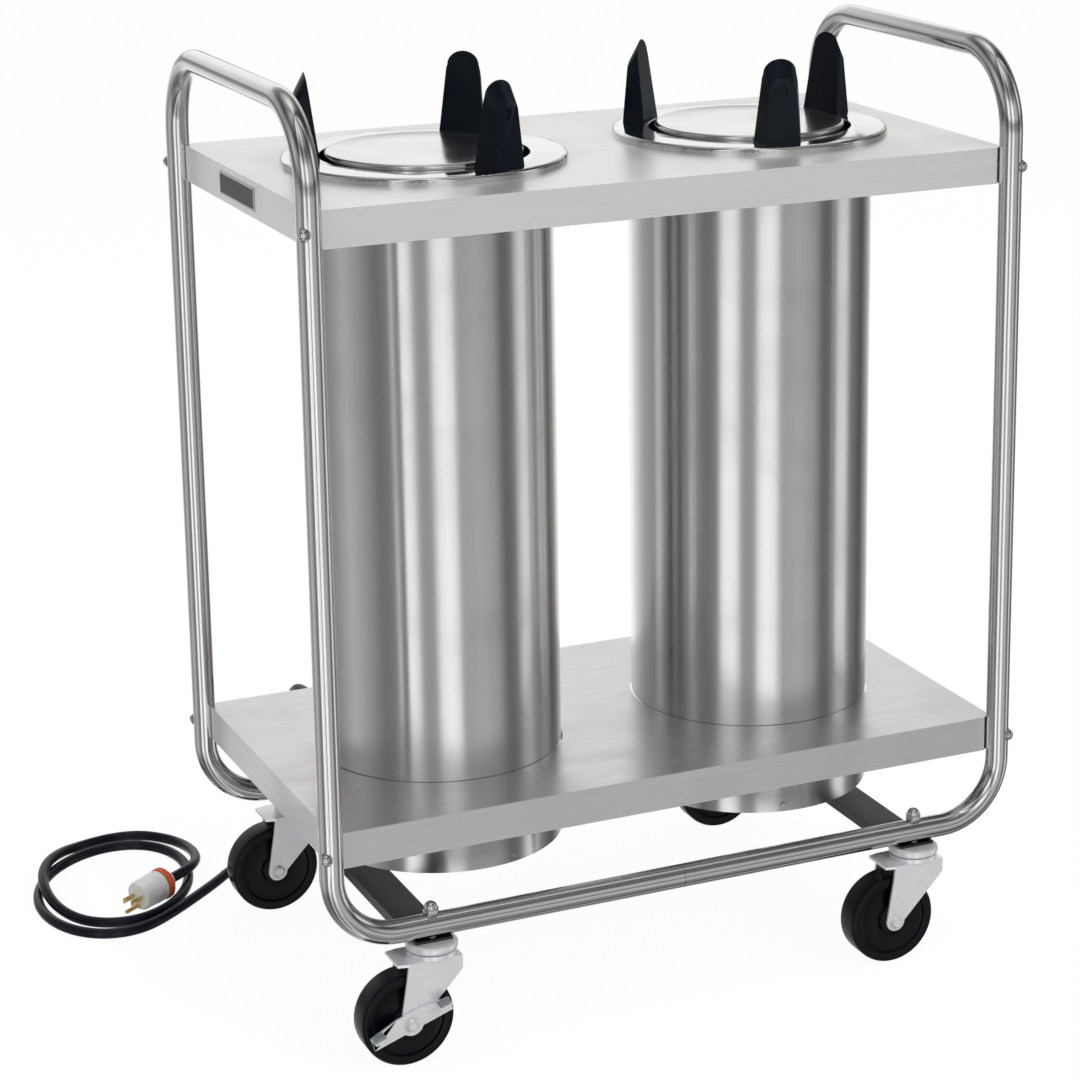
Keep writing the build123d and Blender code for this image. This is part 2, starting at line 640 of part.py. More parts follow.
# Screws that hold the bottom caps in the shells
with BuildPart() as cap_screws:
    for side, x, post_angle, cap_angle in STACKS:
        for k in range(CAP_SCREW_COUNT):
            angle = cap_angle + 360 / CAP_SCREW_COUNT * k
            level = SHELL_BOTTOM + CAP_SCREW_HEIGHT
            with BuildSketch(radial_plane(x, SHELL_RADIUS, angle, level)):
                Circle(CAP_SCREW_HEAD / 2)
            extrude(amount=CAP_SCREW_HEAD_HEIGHT, taper=CAP_SCREW_TAPER)
            with BuildSketch(radial_plane(x, SHELL_RADIUS, angle, level)):
                Circle(CAP_SCREW / 2)
            extrude(amount=-CAP_SCREW_LENGTH)
save(cap_screws.part, "cap_screws")

# Cross bars under the rails
for side, sign in (("left", -1), ("right", 1)):
    bar_length = LEG_SPACING_Y + 2 * BAR_OVERHANG
    lip_length = LEG_SPACING_Y - 2 * BAR_LIP_SETBACK
    with BuildPart() as cross_bar:
        with BuildSketch(Plane.XY.offset(BAR_BOTTOM)):
            with Locations((sign * BAR_X, 0)):
                Rectangle(BAR_WIDTH, bar_length)
        extrude(amount=BAR_SHEET)
        with BuildSketch(Plane.XY.offset(BAR_BOTTOM)):
            for edge in (-1, 1):
                with Locations((sign * BAR_X + edge * (BAR_WIDTH - BAR_SHEET) / 2, 0)):
                    Rectangle(BAR_SHEET, lip_length)
        extrude(amount=-BAR_LIP)
        with BuildSketch(Plane.XY.offset(BAR_BOTTOM)):
            with Locations((sign * BAR_X, -LEG_Y), (sign * BAR_X, LEG_Y)):
                Circle(STEM_DIAMETER / 2 + STEM_CLEARANCE)
        extrude(amount=BAR_SHEET, mode=Mode.SUBTRACT)
    save(cross_bar.part, f"cross_bar_{side}")

# Fixed caster heads with their threaded stems
with BuildPart() as caster_heads:
    for name, x, y, brake in CASTERS:
        with BuildSketch(Plane.XY.offset(HEAD_BOTTOM)):
            with Locations((x, y)):
                Circle(HEAD_DIAMETER / 2)
        extrude(amount=HEAD_HEIGHT)
        with BuildSketch(Plane.XY.offset(BAR_BOTTOM)):
            with Locations((x, y)):
                Circle(STEM_DIAMETER / 2)
        extrude(amount=RAIL_TOP + ACORN_HEX - BAR_BOTTOM)
        with BuildSketch(Plane.XY.offset(HEAD_BOTTOM)):
            with Locations((x, y)):
                Circle(KINGPIN_DIAMETER / 2)
        extrude(amount=-(HEAD_BOTTOM - CROWN_BOTTOM))
    fillet(
        caster_heads.edges().filter_by(GeomType.CIRCLE).filter_by(lambda e: e.radius > HEAD_DIAMETER / 2 - 1),
        HEAD_EDGE,
    )
save(caster_heads.part, "caster_heads")

# Acorn nuts on top of the rails
with BuildPart() as acorn_nuts:
    for name, x, y, brake in CASTERS:
        with BuildSketch(Plane.XY.offset(RAIL_TOP)):
            with Locations((x, y)):
                RegularPolygon(ACORN_FLATS / 2, 6, major_radius=False)
                Circle(STEM_DIAMETER / 2, mode=Mode.SUBTRACT)
        extrude(amount=ACORN_HEX)
        with BuildSketch(Plane.XY.offset(RAIL_TOP + ACORN_HEX)):
            with Locations((x, y)):
                Circle(ACORN_FLATS / 2)
        extrude(amount=ACORN_HEIGHT - ACORN_HEX, taper=ACORN_TAPER)
save(acorn_nuts.part, "acorn_nuts")

for name, x, y, brake in CASTERS:
    axle_x = x - CASTER_TRAIL

    with BuildPart() as fork:
        with BuildSketch(Plane.XY.offset(CROWN_BOTTOM)):
            with BuildLine():
                Polyline(
                    (x - CROWN_BACK, y - FORK_OUTER + FORK_SHEET),
                    (x - FORK_TOP_BACK, y - FORK_OUTER),
                    (x + FORK_TOP_FRONT, y - FORK_OUTER),
                    (x + FORK_TOP_FRONT, y + FORK_OUTER),
                    (x - FORK_TOP_BACK, y + FORK_OUTER),
                    (x - CROWN_BACK, y + FORK_OUTER - FORK_SHEET),
                    close=True,
                )
            make_face()
        extrude(amount=FORK_SHEET)
        with BuildSketch(Plane.XY.offset(CROWN_TOP)):
            with Locations((x, y)):
                Circle(RACE_DIAMETER / 2)
        extrude(amount=RACE_HEIGHT)
        for sy in (-1, 1):
            with BuildSketch(Plane(origin=(0, y + sy * FORK_INNER, 0), x_dir=(1, 0, 0), z_dir=(0, -1, 0))):
                with BuildLine():
                    Polyline(
                        (x - FORK_TOP_BACK, CROWN_TOP),
                        (axle_x - FORK_BOSS, WHEEL_RADIUS),
                        (axle_x + FORK_BOSS, WHEEL_RADIUS),
                        (x + FORK_TOP_FRONT - FORK_BOSS, CROWN_BOTTOM - FORK_SKIRT),
                        (x + FORK_TOP_FRONT, CROWN_BOTTOM - FORK_SKIRT / 2),
                        (x + FORK_TOP_FRONT, CROWN_TOP),
                        close=True,
                    )
                make_face()
                with Locations((axle_x, WHEEL_RADIUS)):
                    Circle(FORK_BOSS)
                    Circle(AXLE_DIAMETER / 2 + AXLE_CLEARANCE, mode=Mode.SUBTRACT)
            extrude(amount=-sy * FORK_SHEET)
        with BuildSketch(Plane.XY.offset(CROWN_BOTTOM)):
            with Locations((x, y)):
                Circle(KINGPIN_DIAMETER / 2 + KINGPIN_CLEARANCE)
        extrude(amount=FORK_SHEET + RACE_HEIGHT, mode=Mode.SUBTRACT)
    save(fork.part, f"caster_fork_{name}")

    with BuildPart() as wheel:
        with BuildSketch(Plane.XZ.offset(-y)):
            with Locations((axle_x, WHEEL_RADIUS)):
                Circle(WHEEL_RADIUS)
        extrude(amount=WHEEL_WIDTH / 2, both=True)
        fillet(wheel.edges().filter_by(GeomType.CIRCLE), WHEEL_EDGE)
        for face_side in (-1, 1):
            with BuildSketch(Plane.XZ.offset(-y - face_side * WHEEL_WIDTH / 2)):
                with Locations((axle_x, WHEEL_RADIUS)):
                    Circle(WHEEL_RECESS_OUTER / 2)
                    Circle(WHEEL_RECESS_INNER / 2, mode=Mode.SUBTRACT)
            extrude(amount=face_side * WHEEL_RECESS_DEPTH, mode=Mode.SUBTRACT)
        with BuildSketch(Plane.XZ.offset(-y)):
            with Locations((axle_x, WHEEL_RADIUS)):
                Circle(WHEEL_HUB / 2)
        extrude(amount=WHEEL_HUB_WIDTH / 2, both=True)
        with BuildSketch(Plane.XZ.offset(-y)):
            with Locations((axle_x, WHEEL_RADIUS)):
                Circle(AXLE_DIAMETER / 2 + AXLE_CLEARANCE)
        extrude(amount=WHEEL_HUB_WIDTH, both=True, mode=Mode.SUBTRACT)
    save(wheel.part, f"caster_wheel_{name}")

    lever_room = LEVER_SHEET + 2 * LEVER_GAP
    axle_half = FORK_OUTER + lever_room * abs(brake)
    with BuildPart() as axle:
        with BuildSketch(Plane.XZ.offset(-y)):
            with Locations((axle_x, WHEEL_RADIUS)):
                Circle(AXLE_DIAMETER / 2)
        extrude(amount=axle_half, both=True)
        for face_side in (-1, 1):
            with BuildSketch(Plane.XZ.offset(-y + face_side * axle_half)):
                with Locations((axle_x, WHEEL_RADIUS)):
                    Circle(AXLE_HEAD / 2)
            extrude(amount=face_side * AXLE_HEAD_HEIGHT)
    save(axle.part, f"caster_axle_{name}")

    if brake:
        lever_plane = Plane(
            origin=(axle_x, y + brake * (FORK_OUTER + LEVER_GAP), WHEEL_RADIUS),
            x_dir=(-brake * cos(radians(LEVER_TILT)), 0, -brake * sin(radians(LEVER_TILT))),
            z_dir=(0, brake, 0),
        )
        end_x = LEVER_LENGTH / 2 - LEVER_END
        with BuildPart() as lever:
            with BuildSketch(lever_plane):
                with BuildLine():
                    Polyline(
                        (-end_x - LEVER_END, -LEVER_END),
                        (end_x + LEVER_END, -LEVER_END),
                        (end_x + LEVER_END, LEVER_END),
                        (LEVER_HUB, LEVER_HUB),
                        (-LEVER_HUB, LEVER_HUB),
                        (-end_x - LEVER_END, LEVER_END),
                        close=True,
                    )
                make_face()
                Circle(LEVER_HUB)
                Circle(AXLE_DIAMETER / 2 + AXLE_CLEARANCE, mode=Mode.SUBTRACT)
            extrude(amount=LEVER_SHEET)
            for end in (-1, 1):
                with BuildSketch(lever_plane.offset(LEVER_SHEET)):
                    with Locations((end * end_x, LEVER_END - LEVER_SHEET / 2)):
                        Rectangle(TREAD_LENGTH, LEVER_SHEET)
                extrude(amount=TREAD_DEPTH)
        save(lever.part, f"brake_lever_{name}")
        with BuildPart() as pads:
            for end in (-1, 1):
                with BuildSketch(lever_plane.offset(LEVER_SHEET + PAD_MARGIN)):
                    with Locations((end * end_x, LEVER_END + PAD_HEIGHT / 2)):
                        Rectangle(TREAD_LENGTH - 2 * PAD_MARGIN, PAD_HEIGHT)
                extrude(amount=TREAD_DEPTH - PAD_MARGIN)
        save(pads.part, f"brake_pads_{name}")

# Junction box inside the shelf's rear flange
BOX_BACK = PAN_Y - PAN_SHEET
BOX_CENTRE_Y = BOX_BACK - BOX_DEPTH / 2
with BuildPart() as junction_box:
    with BuildSketch(Plane.XY.offset(SHELF_UNDERSIDE)):
        with Locations((BOX_X, BOX_CENTRE_Y)):
            RectangleRounded(BOX_WIDTH, BOX_DEPTH, BOX_CORNER)
    extrude(amount=-BOX_HEIGHT + PAN_SHEET)
    with BuildSketch(Plane.XY.offset(SHELF_UNDERSIDE)):
        with Locations((BOX_X, BOX_CENTRE_Y)):
            RectangleRounded(BOX_WIDTH - 2 * BOX_WALL, BOX_DEPTH - 2 * BOX_WALL, BOX_CORNER - BOX_WALL)
    extrude(amount=-BOX_HEIGHT + PAN_SHEET + BOX_WALL, mode=Mode.SUBTRACT)
save(junction_box.part, "junction_box")

# Cord route, from the relief's mouth to the plug; the coil lies loose on the floor
RELIEF_MOUTH = PAN_Y + RELIEF_LENGTH
FLOOR_LEVEL = CORD_DIAMETER / 2
LEAD_POINTS = [
    (BOX_X, RELIEF_MOUTH, relief_level),
    (BOX_X, RELIEF_MOUTH + 40, relief_level),
    (BOX_X + 2, RELIEF_MOUTH + 74, relief_level - 38),
    (BOX_X + 6, RELIEF_MOUTH + 84, relief_level - 94),
    (BOX_X + 8, RELIEF_MOUTH + 92, relief_level - 150),
    (BOX_X - 2, RELIEF_MOUTH + 108, FLOOR_LEVEL + 34),
    (BOX_X - 34, RELIEF_MOUTH + 110, FLOOR_LEVEL + 3),
    (BOX_X - 77, RELIEF_MOUTH + 82, FLOOR_LEVEL),
    (-374, 289, FLOOR_LEVEL),
]
CROSSING_LIFT = CORD_DIAMETER + CROSSING_GAP
PLUG_LEVEL = PLUG_DIAMETER / 2 + PLUG_RING_PROUD
TAIL_POINTS = [
    (-369, 418, FLOOR_LEVEL + 2),
    (-368, 380, FLOOR_LEVEL + 7),
    (-375, 347, FLOOR_LEVEL + 11),
    (-390, 321, FLOOR_LEVEL + CROSSING_LIFT + 1),
    (-407, 307, FLOOR_LEVEL + CROSSING_LIFT + 1),
    (-422, 299, PLUG_LEVEL),
]


def coil_point(turn):
    """A place on the loose coil, after so many turns from where the lead joins it."""
    angle = radians(COIL_START - 360 * turn)
    across = COIL_HALF_WIDTH * cos(angle)
    along = COIL_HALF_LENGTH * sin(angle) * (1 + COIL_EGG * cos(angle))
    tilt = radians(COIL_TILT)
    share = (CROSSING_HOLD + CROSSING_RAMP - abs(turn - CROSSING_TURN)) / CROSSING_RAMP
    return (
        COIL_X + COIL_DRIFT_X * turn + across * cos(tilt) - along * sin(tilt),
        COIL_Y + COIL_DRIFT_Y * turn + across * sin(tilt) + along * cos(tilt),
        FLOOR_LEVEL + CROSSING_LIFT * min(1, max(0, share)),
    )


coil_turns = [coil_point(k / COIL_STEPS) for k in range(COIL_POINT_COUNT)]
joint = tuple((Vector(*LEAD_POINTS[-1]) + Vector(*coil_turns[0])) / 2)


def smooth_radii(points):
    """The largest arc that each corner's two runs leave room for."""
    steps = [Vector(*b) - Vector(*a) for a, b in zip(points, points[1:])]
    radii = []
    for before, after in zip(steps, steps[1:]):
        half_turn = radians(before.get_angle(after)) / 2
        radii.append(CORNER_SHARE * min(before.length, after.length) * cos(half_turn) / sin(half_turn))
    return radii


def cord_tube(points, name):
    """One unbroken tube along straight runs joined by tangent arcs."""
    radii = smooth_radii(points)
    with BuildPart() as tube:
        with BuildLine() as line:
            FilletPolyline(*points, radius=radii)
        route = line.wires()[0]
        with BuildSketch(Plane(origin=route @ 0, z_dir=route % 0)):
            Circle(CORD_DIAMETER / 2)
        sweep()
    length = route.length
    section = Face(Wire(Edge.make_circle(CORD_DIAMETER / 2))).area
    print(name, "radii", [round(r) for r in radii])
    print(name, "length", round(length), "volume share", round(tube.part.volume / (section * length), 4))
    save(tube.part, name)
    return route


def least_gap(line, reach):
    """Least space between stretches of a tube that are not neighbours along it."""
    count = int(line.length / CORD_DIAMETER * 2)
    spots = [line @ (k / count) for k in range(count + 1)]
    step = line.length / count
    skip = int(reach / step)
    pairs = [(a, b) for a in range(count + 1) for b in range(a + skip, count + 1)]
    return min((spots[a] - spots[b]).length for a, b in pairs) - CORD_DIAMETER


cord_tube(LEAD_POINTS + [joint], "cord_lead")
coil_line = cord_tube([joint] + coil_turns + TAIL_POINTS, "cord_coil")
print("coil's least gap to itself", round(least_gap(coil_line, COIL_REACH), 2))

relief_plane = Plane(origin=(BOX_X, BOX_BACK, relief_level), x_dir=(1, 0, 0), z_dir=(0, 1, 0))
with BuildPart() as strain_relief:
    with BuildSketch(relief_plane):
        Circle(RELIEF_NECK / 2)
    extrude(amount=PAN_SHEET)
    with BuildSketch(relief_plane.offset(PAN_SHEET)):
        Circle(RELIEF_BASE / 2)
    extrude(amount=RELIEF_COLLAR)
    with BuildSketch(relief_plane.offset(PAN_SHEET + RELIEF_COLLAR)):
        Circle(RELIEF_NECK / 2)
    with BuildSketch(relief_plane.offset(PAN_SHEET + RELIEF_LENGTH)):
        Circle(RELIEF_TIP / 2)
    loft()
save(strain_relief.part, "strain_relief")

# Plug on the cord's end, lying on the floor
plug_start = coil_line @ 1
plug_plane = Plane(origin=plug_start, x_dir=(0, 0, 1), z_dir=coil_line % 1)
with BuildPart() as plug_body:
    with BuildSketch(plug_plane):
        Circle(PLUG_NECK_DIAMETER / 2)
    extrude(amount=PLUG_NECK_LENGTH)
    with BuildSketch(plug_plane.offset(PLUG_NECK_LENGTH + PLUG_RING_LENGTH)):
        Circle(PLUG_DIAMETER / 2)
    extrude(amount=PLUG_BODY_LENGTH - PLUG_RING_LENGTH)
    fillet(plug_body.faces().sort_by(Axis(plug_plane.origin, plug_plane.z_dir))[-1].edges(), PLUG_EDGE)
    with BuildSketch(plug_plane.offset(PLUG_NECK_LENGTH)):
        Circle(PLUG_NECK_DIAMETER / 2)
    extrude(amount=PLUG_RING_LENGTH)
save(plug_body.part, "plug_body")

with BuildPart() as plug_ring:
    with BuildSketch(plug_plane.offset(PLUG_NECK_LENGTH)):
        Circle(PLUG_DIAMETER / 2 + PLUG_RING_PROUD)
        Circle(PLUG_NECK_DIAMETER / 2, mode=Mode.SUBTRACT)
    extrude(amount=PLUG_RING_LENGTH)
save(plug_ring.part, "plug_ring")

with BuildPart() as plug_blades:
    with BuildSketch(plug_plane.offset(PLUG_NECK_LENGTH + PLUG_BODY_LENGTH)):
        with Locations((0, -BLADE_SPACING / 2), (0, BLADE_SPACING / 2)):
            Rectangle(BLADE_HEIGHT, BLADE_THICKNESS)
    extrude(amount=BLADE_LENGTH)
    with BuildSketch(plug_plane.offset(PLUG_NECK_LENGTH + PLUG_BODY_LENGTH)):
        with Locations((-EARTH_PIN_OFFSET, 0)):
            Circle(EARTH_PIN_DIAMETER / 2)
    extrude(amount=EARTH_PIN_LENGTH)
save(plug_blades.part, "plug_blades")
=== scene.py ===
"""Dresses the two-stack heated plate dispenser for rendering.

Metres, +Z up, +X along the cart's length, -Y towards its front. Every piece
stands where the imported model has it, and rides on the body of the node it replaces.
"""
import json
from math import atan2, cos, pi, radians, sin

import bmesh
import bpy
from bpy.props import FloatProperty, FloatVectorProperty, IntProperty, PointerProperty
from mathutils import Matrix, Vector

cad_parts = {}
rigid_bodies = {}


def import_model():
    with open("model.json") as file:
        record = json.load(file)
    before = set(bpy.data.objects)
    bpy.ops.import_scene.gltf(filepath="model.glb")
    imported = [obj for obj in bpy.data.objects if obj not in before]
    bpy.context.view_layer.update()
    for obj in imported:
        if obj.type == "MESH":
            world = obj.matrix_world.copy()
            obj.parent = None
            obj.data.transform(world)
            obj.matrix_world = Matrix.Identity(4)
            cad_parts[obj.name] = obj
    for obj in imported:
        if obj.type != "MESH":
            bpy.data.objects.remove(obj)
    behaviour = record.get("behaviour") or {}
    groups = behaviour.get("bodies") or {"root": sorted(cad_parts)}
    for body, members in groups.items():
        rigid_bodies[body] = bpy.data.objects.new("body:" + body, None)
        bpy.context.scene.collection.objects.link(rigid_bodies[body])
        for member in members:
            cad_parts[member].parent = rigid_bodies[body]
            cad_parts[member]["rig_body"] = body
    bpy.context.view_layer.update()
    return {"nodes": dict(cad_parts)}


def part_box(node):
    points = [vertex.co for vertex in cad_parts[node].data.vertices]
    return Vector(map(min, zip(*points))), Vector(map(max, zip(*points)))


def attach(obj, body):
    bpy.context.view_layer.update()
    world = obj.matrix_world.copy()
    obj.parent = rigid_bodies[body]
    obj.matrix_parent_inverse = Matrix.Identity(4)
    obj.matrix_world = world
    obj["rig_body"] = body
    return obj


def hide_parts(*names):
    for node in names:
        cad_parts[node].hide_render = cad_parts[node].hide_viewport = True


bl_info = {
    "name": "Heated plate dispenser",
    "version": (1, 0, 0),
    "blender": (4, 5, 0),
    "location": "3D View > Sidebar > Plate dispenser",
    "description": "Builds and finishes the pieces of a two-stack heated plate dispenser",
    "category": "Object",
}

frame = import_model()
NODES = frame["nodes"]
SIDES = ("left", "right")
CORNERS = ("front_left", "front_right", "rear_left", "rear_right")
BRAKED = ("front_left", "rear_right")

# Sharp edges of a smooth shaded mesh start at this angle
SHARP = radians(32)

# The photograph's width and middle, and where the lens looks straight on, in its pixels
PICTURE_WIDTH = 1080
PICTURE_MIDDLE = 540
LENS_AXIS = (640, 400)

# Cord from the strain relief's mouth to the floor, and its tail up to the plug,
# as the model's own points
LEAD_POINTS = (
    (-0.262, 0.24295, 0.244),
    (-0.262, 0.28295, 0.244),
    (-0.260, 0.31695, 0.206),
    (-0.256, 0.32695, 0.150),
    (-0.254, 0.33495, 0.094),
    (-0.264, 0.35095, 0.040),
    (-0.296, 0.35295, 0.009),
    (-0.339, 0.32495, 0.006),
    (-0.374, 0.289, 0.006),
)
TAIL_POINTS = (
    (-0.369, 0.418, 0.008),
    (-0.368, 0.380, 0.013),
    (-0.375, 0.347, 0.017),
    (-0.390, 0.321, 0.0205),
    (-0.407, 0.307, 0.0205),
    (-0.422, 0.299, 0.0193),
)

# The model's loose coil: egg-shaped turns that drift, the second lying over the first
COIL_CENTRE = (-0.487, 0.323)
COIL_DRIFT = (0.013, 0.027)
COIL_HALF_WIDTH = 0.088
COIL_HALF_LENGTH = 0.123
COIL_TILT = -21
COIL_EGG = 0.055
COIL_START = -40
COIL_STEPS = 15
COIL_POINT_COUNT = 27
FLOOR_LEVEL = 0.006
CROSSING_LIFT = 0.0135
CROSSING_TURN = 1.39
CROSSING_HOLD = 0.04
CROSSING_RAMP = 0.12

# Where soft light stands round the object, for what the metal mirrors:
# heading from the front towards the right end, and the level there; then the
# share of it that is left at each height over or under the horizon
STUDIO_LEVELS = (
    (-180, 0.80), (-148, 0.34), (-125, 0.24), (-103, 0.44), (-85, 0.30), (-70, 0.16), (-57, 0.20),
    (-52, 0.92), (-46, 1.00), (-39, 0.90), (-33, 0.32), (-22, 0.30), (-16, 0.90), (-8, 1.00),
    (-1, 0.88), (4, 0.36), (22, 0.42), (38, 0.34), (48, 0.12), (60, 0.14), (68, 0.66), (78, 0.72),
    (86, 0.20), (108, 0.06), (125, 0.30), (150, 0.78),
)
STUDIO_HEIGHTS = (
    (-90, 0.85), (-52, 0.45), (-36, 0.50), (-27, 1.00), (-8, 1.00), (-3, 0.45), (3, 0.35), (8, 1.00),
    (24, 1.00), (33, 0.40), (44, 0.22), (56, 0.60), (70, 1.00), (90, 0.90),
)


class SteelSettings(bpy.types.PropertyGroup):
    """Colours and finishes of the metal pieces"""
    steel_color: FloatVectorProperty(
        name="Steel", description="Colour of the stainless steel", subtype="COLOR",
        size=3, min=0, max=1, default=(0.68, 0.675, 0.67))
    tube_roughness: FloatProperty(
        name="Tube roughness", description="How dull the polished frame tube is",
        min=0, max=1, default=0.10)
    sheet_roughness: FloatProperty(
        name="Sheet roughness", description="How dull the brushed deck and shelf are",
        min=0, max=1, default=0.33)
    shell_roughness: FloatProperty(
        name="Shell roughness", description="How dull the brushed dispenser tubes are",
        min=0, max=1, default=0.20)
    fold_radius: FloatProperty(
        name="Fold radius", description="Rounding of the folded sheet edges", unit="LENGTH",
        min=0, default=0.0011)
    zinc_color: FloatVectorProperty(
        name="Zinc", description="Colour of the plated caster parts", subtype="COLOR",
        size=3, min=0, max=1, default=(0.84, 0.85, 0.87))


class MouldingSettings(bpy.types.PropertyGroup):
    """Colours of the moulded pieces"""
    post_color: FloatVectorProperty(
        name="Guide posts", description="Colour of the guide posts", subtype="COLOR",
        size=3, min=0, max=1, default=(0.002, 0.0045, 0.009))
    wheel_color: FloatVectorProperty(
        name="Wheels", description="Colour of the caster wheels", subtype="COLOR",
        size=3, min=0, max=1, default=(0.002, 0.002, 0.004))
    pad_color: FloatVectorProperty(
        name="Brake pads", description="Colour of the pads on the brake levers", subtype="COLOR",
        size=3, min=0, max=1, default=(0.22, 0.23, 0.25))
    post_rounding: FloatProperty(
        name="Post rounding", description="Rounding of the guide posts' edges", unit="LENGTH",
        min=0, default=0.0016)


class CordSettings(bpy.types.PropertyGroup):
    """Sizes and colours of the cord and its plug"""
    diameter: FloatProperty(
        name="Diameter", description="Diameter of the cord", unit="LENGTH", min=0.001, default=0.012)
    length: FloatProperty(
        name="Length", description="Length of the cord from relief to plug", unit="LENGTH",
        min=0.1, default=1.80)
    jacket_color: FloatVectorProperty(
        name="Jacket", description="Colour of the cord's jacket", subtype="COLOR",
        size=3, min=0, max=1, default=(0.002, 0.003, 0.011))
    plug_color: FloatVectorProperty(
        name="Plug", description="Colour of the plug's body", subtype="COLOR",
        size=3, min=0, max=1, default=(0.94, 0.93, 0.91))
    ring_color: FloatVectorProperty(
        name="Plug ring", description="Colour of the ring behind the plug's body", subtype="COLOR",
        size=3, min=0, max=1, default=(0.78, 0.13, 0.035))


class StageSettings(bpy.types.PropertyGroup):
    """Camera and light"""
    camera_place: FloatVectorProperty(
        name="Camera place", description="Where the camera stands", subtype="TRANSLATION",
        size=3, default=(-1.3168, -2.9645, 1.4749))
    heading: FloatProperty(
        name="Heading", description="Camera heading from +Y towards +X", subtype="ANGLE",
        default=0.4338)
    tilt: FloatProperty(
        name="Tilt", description="How far the camera looks down", subtype="ANGLE", default=0.2563)
    roll: FloatProperty(
        name="Roll", description="Camera roll, clockwise", subtype="ANGLE", default=0.0075)
    lens: FloatProperty(
        name="Lens", description="Focal length on a 36 mm sensor, in millimetres", default=101.5)
    mirrored_light: FloatProperty(
        name="Mirrored light", description="Level of the surroundings that metal mirrors",
        min=0, default=1.45)
    key_power: FloatProperty(
        name="Key light", description="Power of the large lamp at the front right", min=0, default=110)
    fill_power: FloatProperty(
        name="Fill light", description="Power of the lamps at the left and at the back",
        min=0, default=24)


class Stack:
    """Places of one stack's platform, read from the frame."""

    def __init__(self, side):
        low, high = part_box(f"collar_{side}")
        self.side = side
        self.x = (low.x + high.x) / 2
        low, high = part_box(f"carrier_plate_{side}")
        self.plate_radius = (high.x - low.x) / 2
        self.plate_bottom, self.plate_top = low.z, high.z


STACKS = [Stack(side) for side in SIDES]


# Node groups

def new_group(name, inputs, outputs):
    """A shader node group with float or vector inputs and float outputs."""
    group = bpy.data.node_groups.new(name, "ShaderNodeTree")
    for label, kind, default in inputs:
        socket = group.interface.new_socket(label, in_out="INPUT", socket_type=kind)
        if default is not None:
            socket.default_value = default
    for label in outputs:
        group.interface.new_socket(label, in_out="OUTPUT", socket_type="NodeSocketFloat")
    nodes = group.nodes
    return group, nodes.new("NodeGroupInput"), nodes.new("NodeGroupOutput")


def math_node(nodes, links, operation, first, second=None, clamp=False):
    """A Math node fed by two sockets or numbers."""
    node = nodes.new("ShaderNodeMath")
    node.operation = operation
    node.use_clamp = clamp
    for socket, value in zip(node.inputs, (first, second)):
        if value is None:
            continue
        if isinstance(value, (int, float)):
            socket.default_value = value
        else:
            links.new(value, socket)
    return node.outputs[0]


def make_grain_group():
    """Fine lines in two sizes, for brushed and drawn metal, along a stretched vector."""
    group, given, result = new_group(
        "Brushed grain",
        (("Vector", "NodeSocketVector", None), ("Fineness", "NodeSocketFloat", 900.0)),
        ("Lines", "Broad"),
    )
    nodes, links = group.nodes, group.links
    fine = nodes.new("ShaderNodeTexNoise")
    fine.inputs["Detail"].default_value = 5
    fine.inputs["Roughness"].default_value = 0.6
    links.new(given.outputs["Vector"], fine.inputs["Vector"])
    links.new(given.outputs["Fineness"], fine.inputs["Scale"])
    broad = nodes.new("ShaderNodeTexNoise")
    broad.inputs["Detail"].default_value = 2
    links.new(given.outputs["Vector"], broad.inputs["Vector"])
    links.new(math_node(nodes, links, "MULTIPLY", given.outputs["Fineness"], 0.12),
              broad.inputs["Scale"])
    links.new(fine.outputs["Fac"], result.inputs["Lines"])
    links.new(broad.outputs["Fac"], result.inputs["Broad"])
    return group


def make_marks_group():
    """Faint smears and specks left by hands and cloths."""
    group, given, result = new_group(
        "Handling marks",
        (("Vector", "NodeSocketVector", None), ("Scale", "NodeSocketFloat", 9.0),
         ("Amount", "NodeSocketFloat", 1.0)),
        ("Smears", "Specks"),
    )
    nodes, links = group.nodes, group.links
    smear = nodes.new("ShaderNodeTexNoise")
    smear.inputs["Detail"].default_value = 3
    smear.inputs["Distortion"].default_value = 0.6
    links.new(given.outputs["Vector"], smear.inputs["Vector"])
    links.new(given.outputs["Scale"], smear.inputs["Scale"])
    smear_mask = math_node(nodes, links, "SUBTRACT", smear.outputs["Fac"], 0.45, clamp=True)
    links.new(math_node(nodes, links, "MULTIPLY", smear_mask, given.outputs["Amount"]),
              result.inputs["Smears"])
    speck = nodes.new("ShaderNodeTexVoronoi")
    links.new(given.outputs["Vector"], speck.inputs["Vector"])
    links.new(math_node(nodes, links, "MULTIPLY", given.outputs["Scale"], 14), speck.inputs["Scale"])
    speck_mask = math_node(nodes, links, "SUBTRACT", 0.16, speck.outputs["Distance"], clamp=True)
    links.new(math_node(nodes, links, "MULTIPLY", speck_mask, given.outputs["Amount"]),
              result.inputs["Specks"])
    return group


def make_pebble_group():
    """The faint texture and flow lines of a moulded surface."""
    group, given, result = new_group(
        "Moulded skin",
        (("Vector", "NodeSocketVector", None), ("Size", "NodeSocketFloat", 700.0)),
        ("Pebble", "Flow"),
    )
    nodes, links = group.nodes, group.links
    pebble = nodes.new("ShaderNodeTexVoronoi")
    links.new(given.outputs["Vector"], pebble.inputs["Vector"])
    links.new(given.outputs["Size"], pebble.inputs["Scale"])
    flow = nodes.new("ShaderNodeTexNoise")
    flow.inputs["Detail"].default_value = 3
    links.new(given.outputs["Vector"], flow.inputs["Vector"])
    links.new(math_node(nodes, links, "MULTIPLY", given.outputs["Size"], 0.04), flow.inputs["Scale"])
    links.new(pebble.outputs["Distance"], result.inputs["Pebble"])
    links.new(flow.outputs["Fac"], result.inputs["Flow"])
    return group


GROUPS = {}


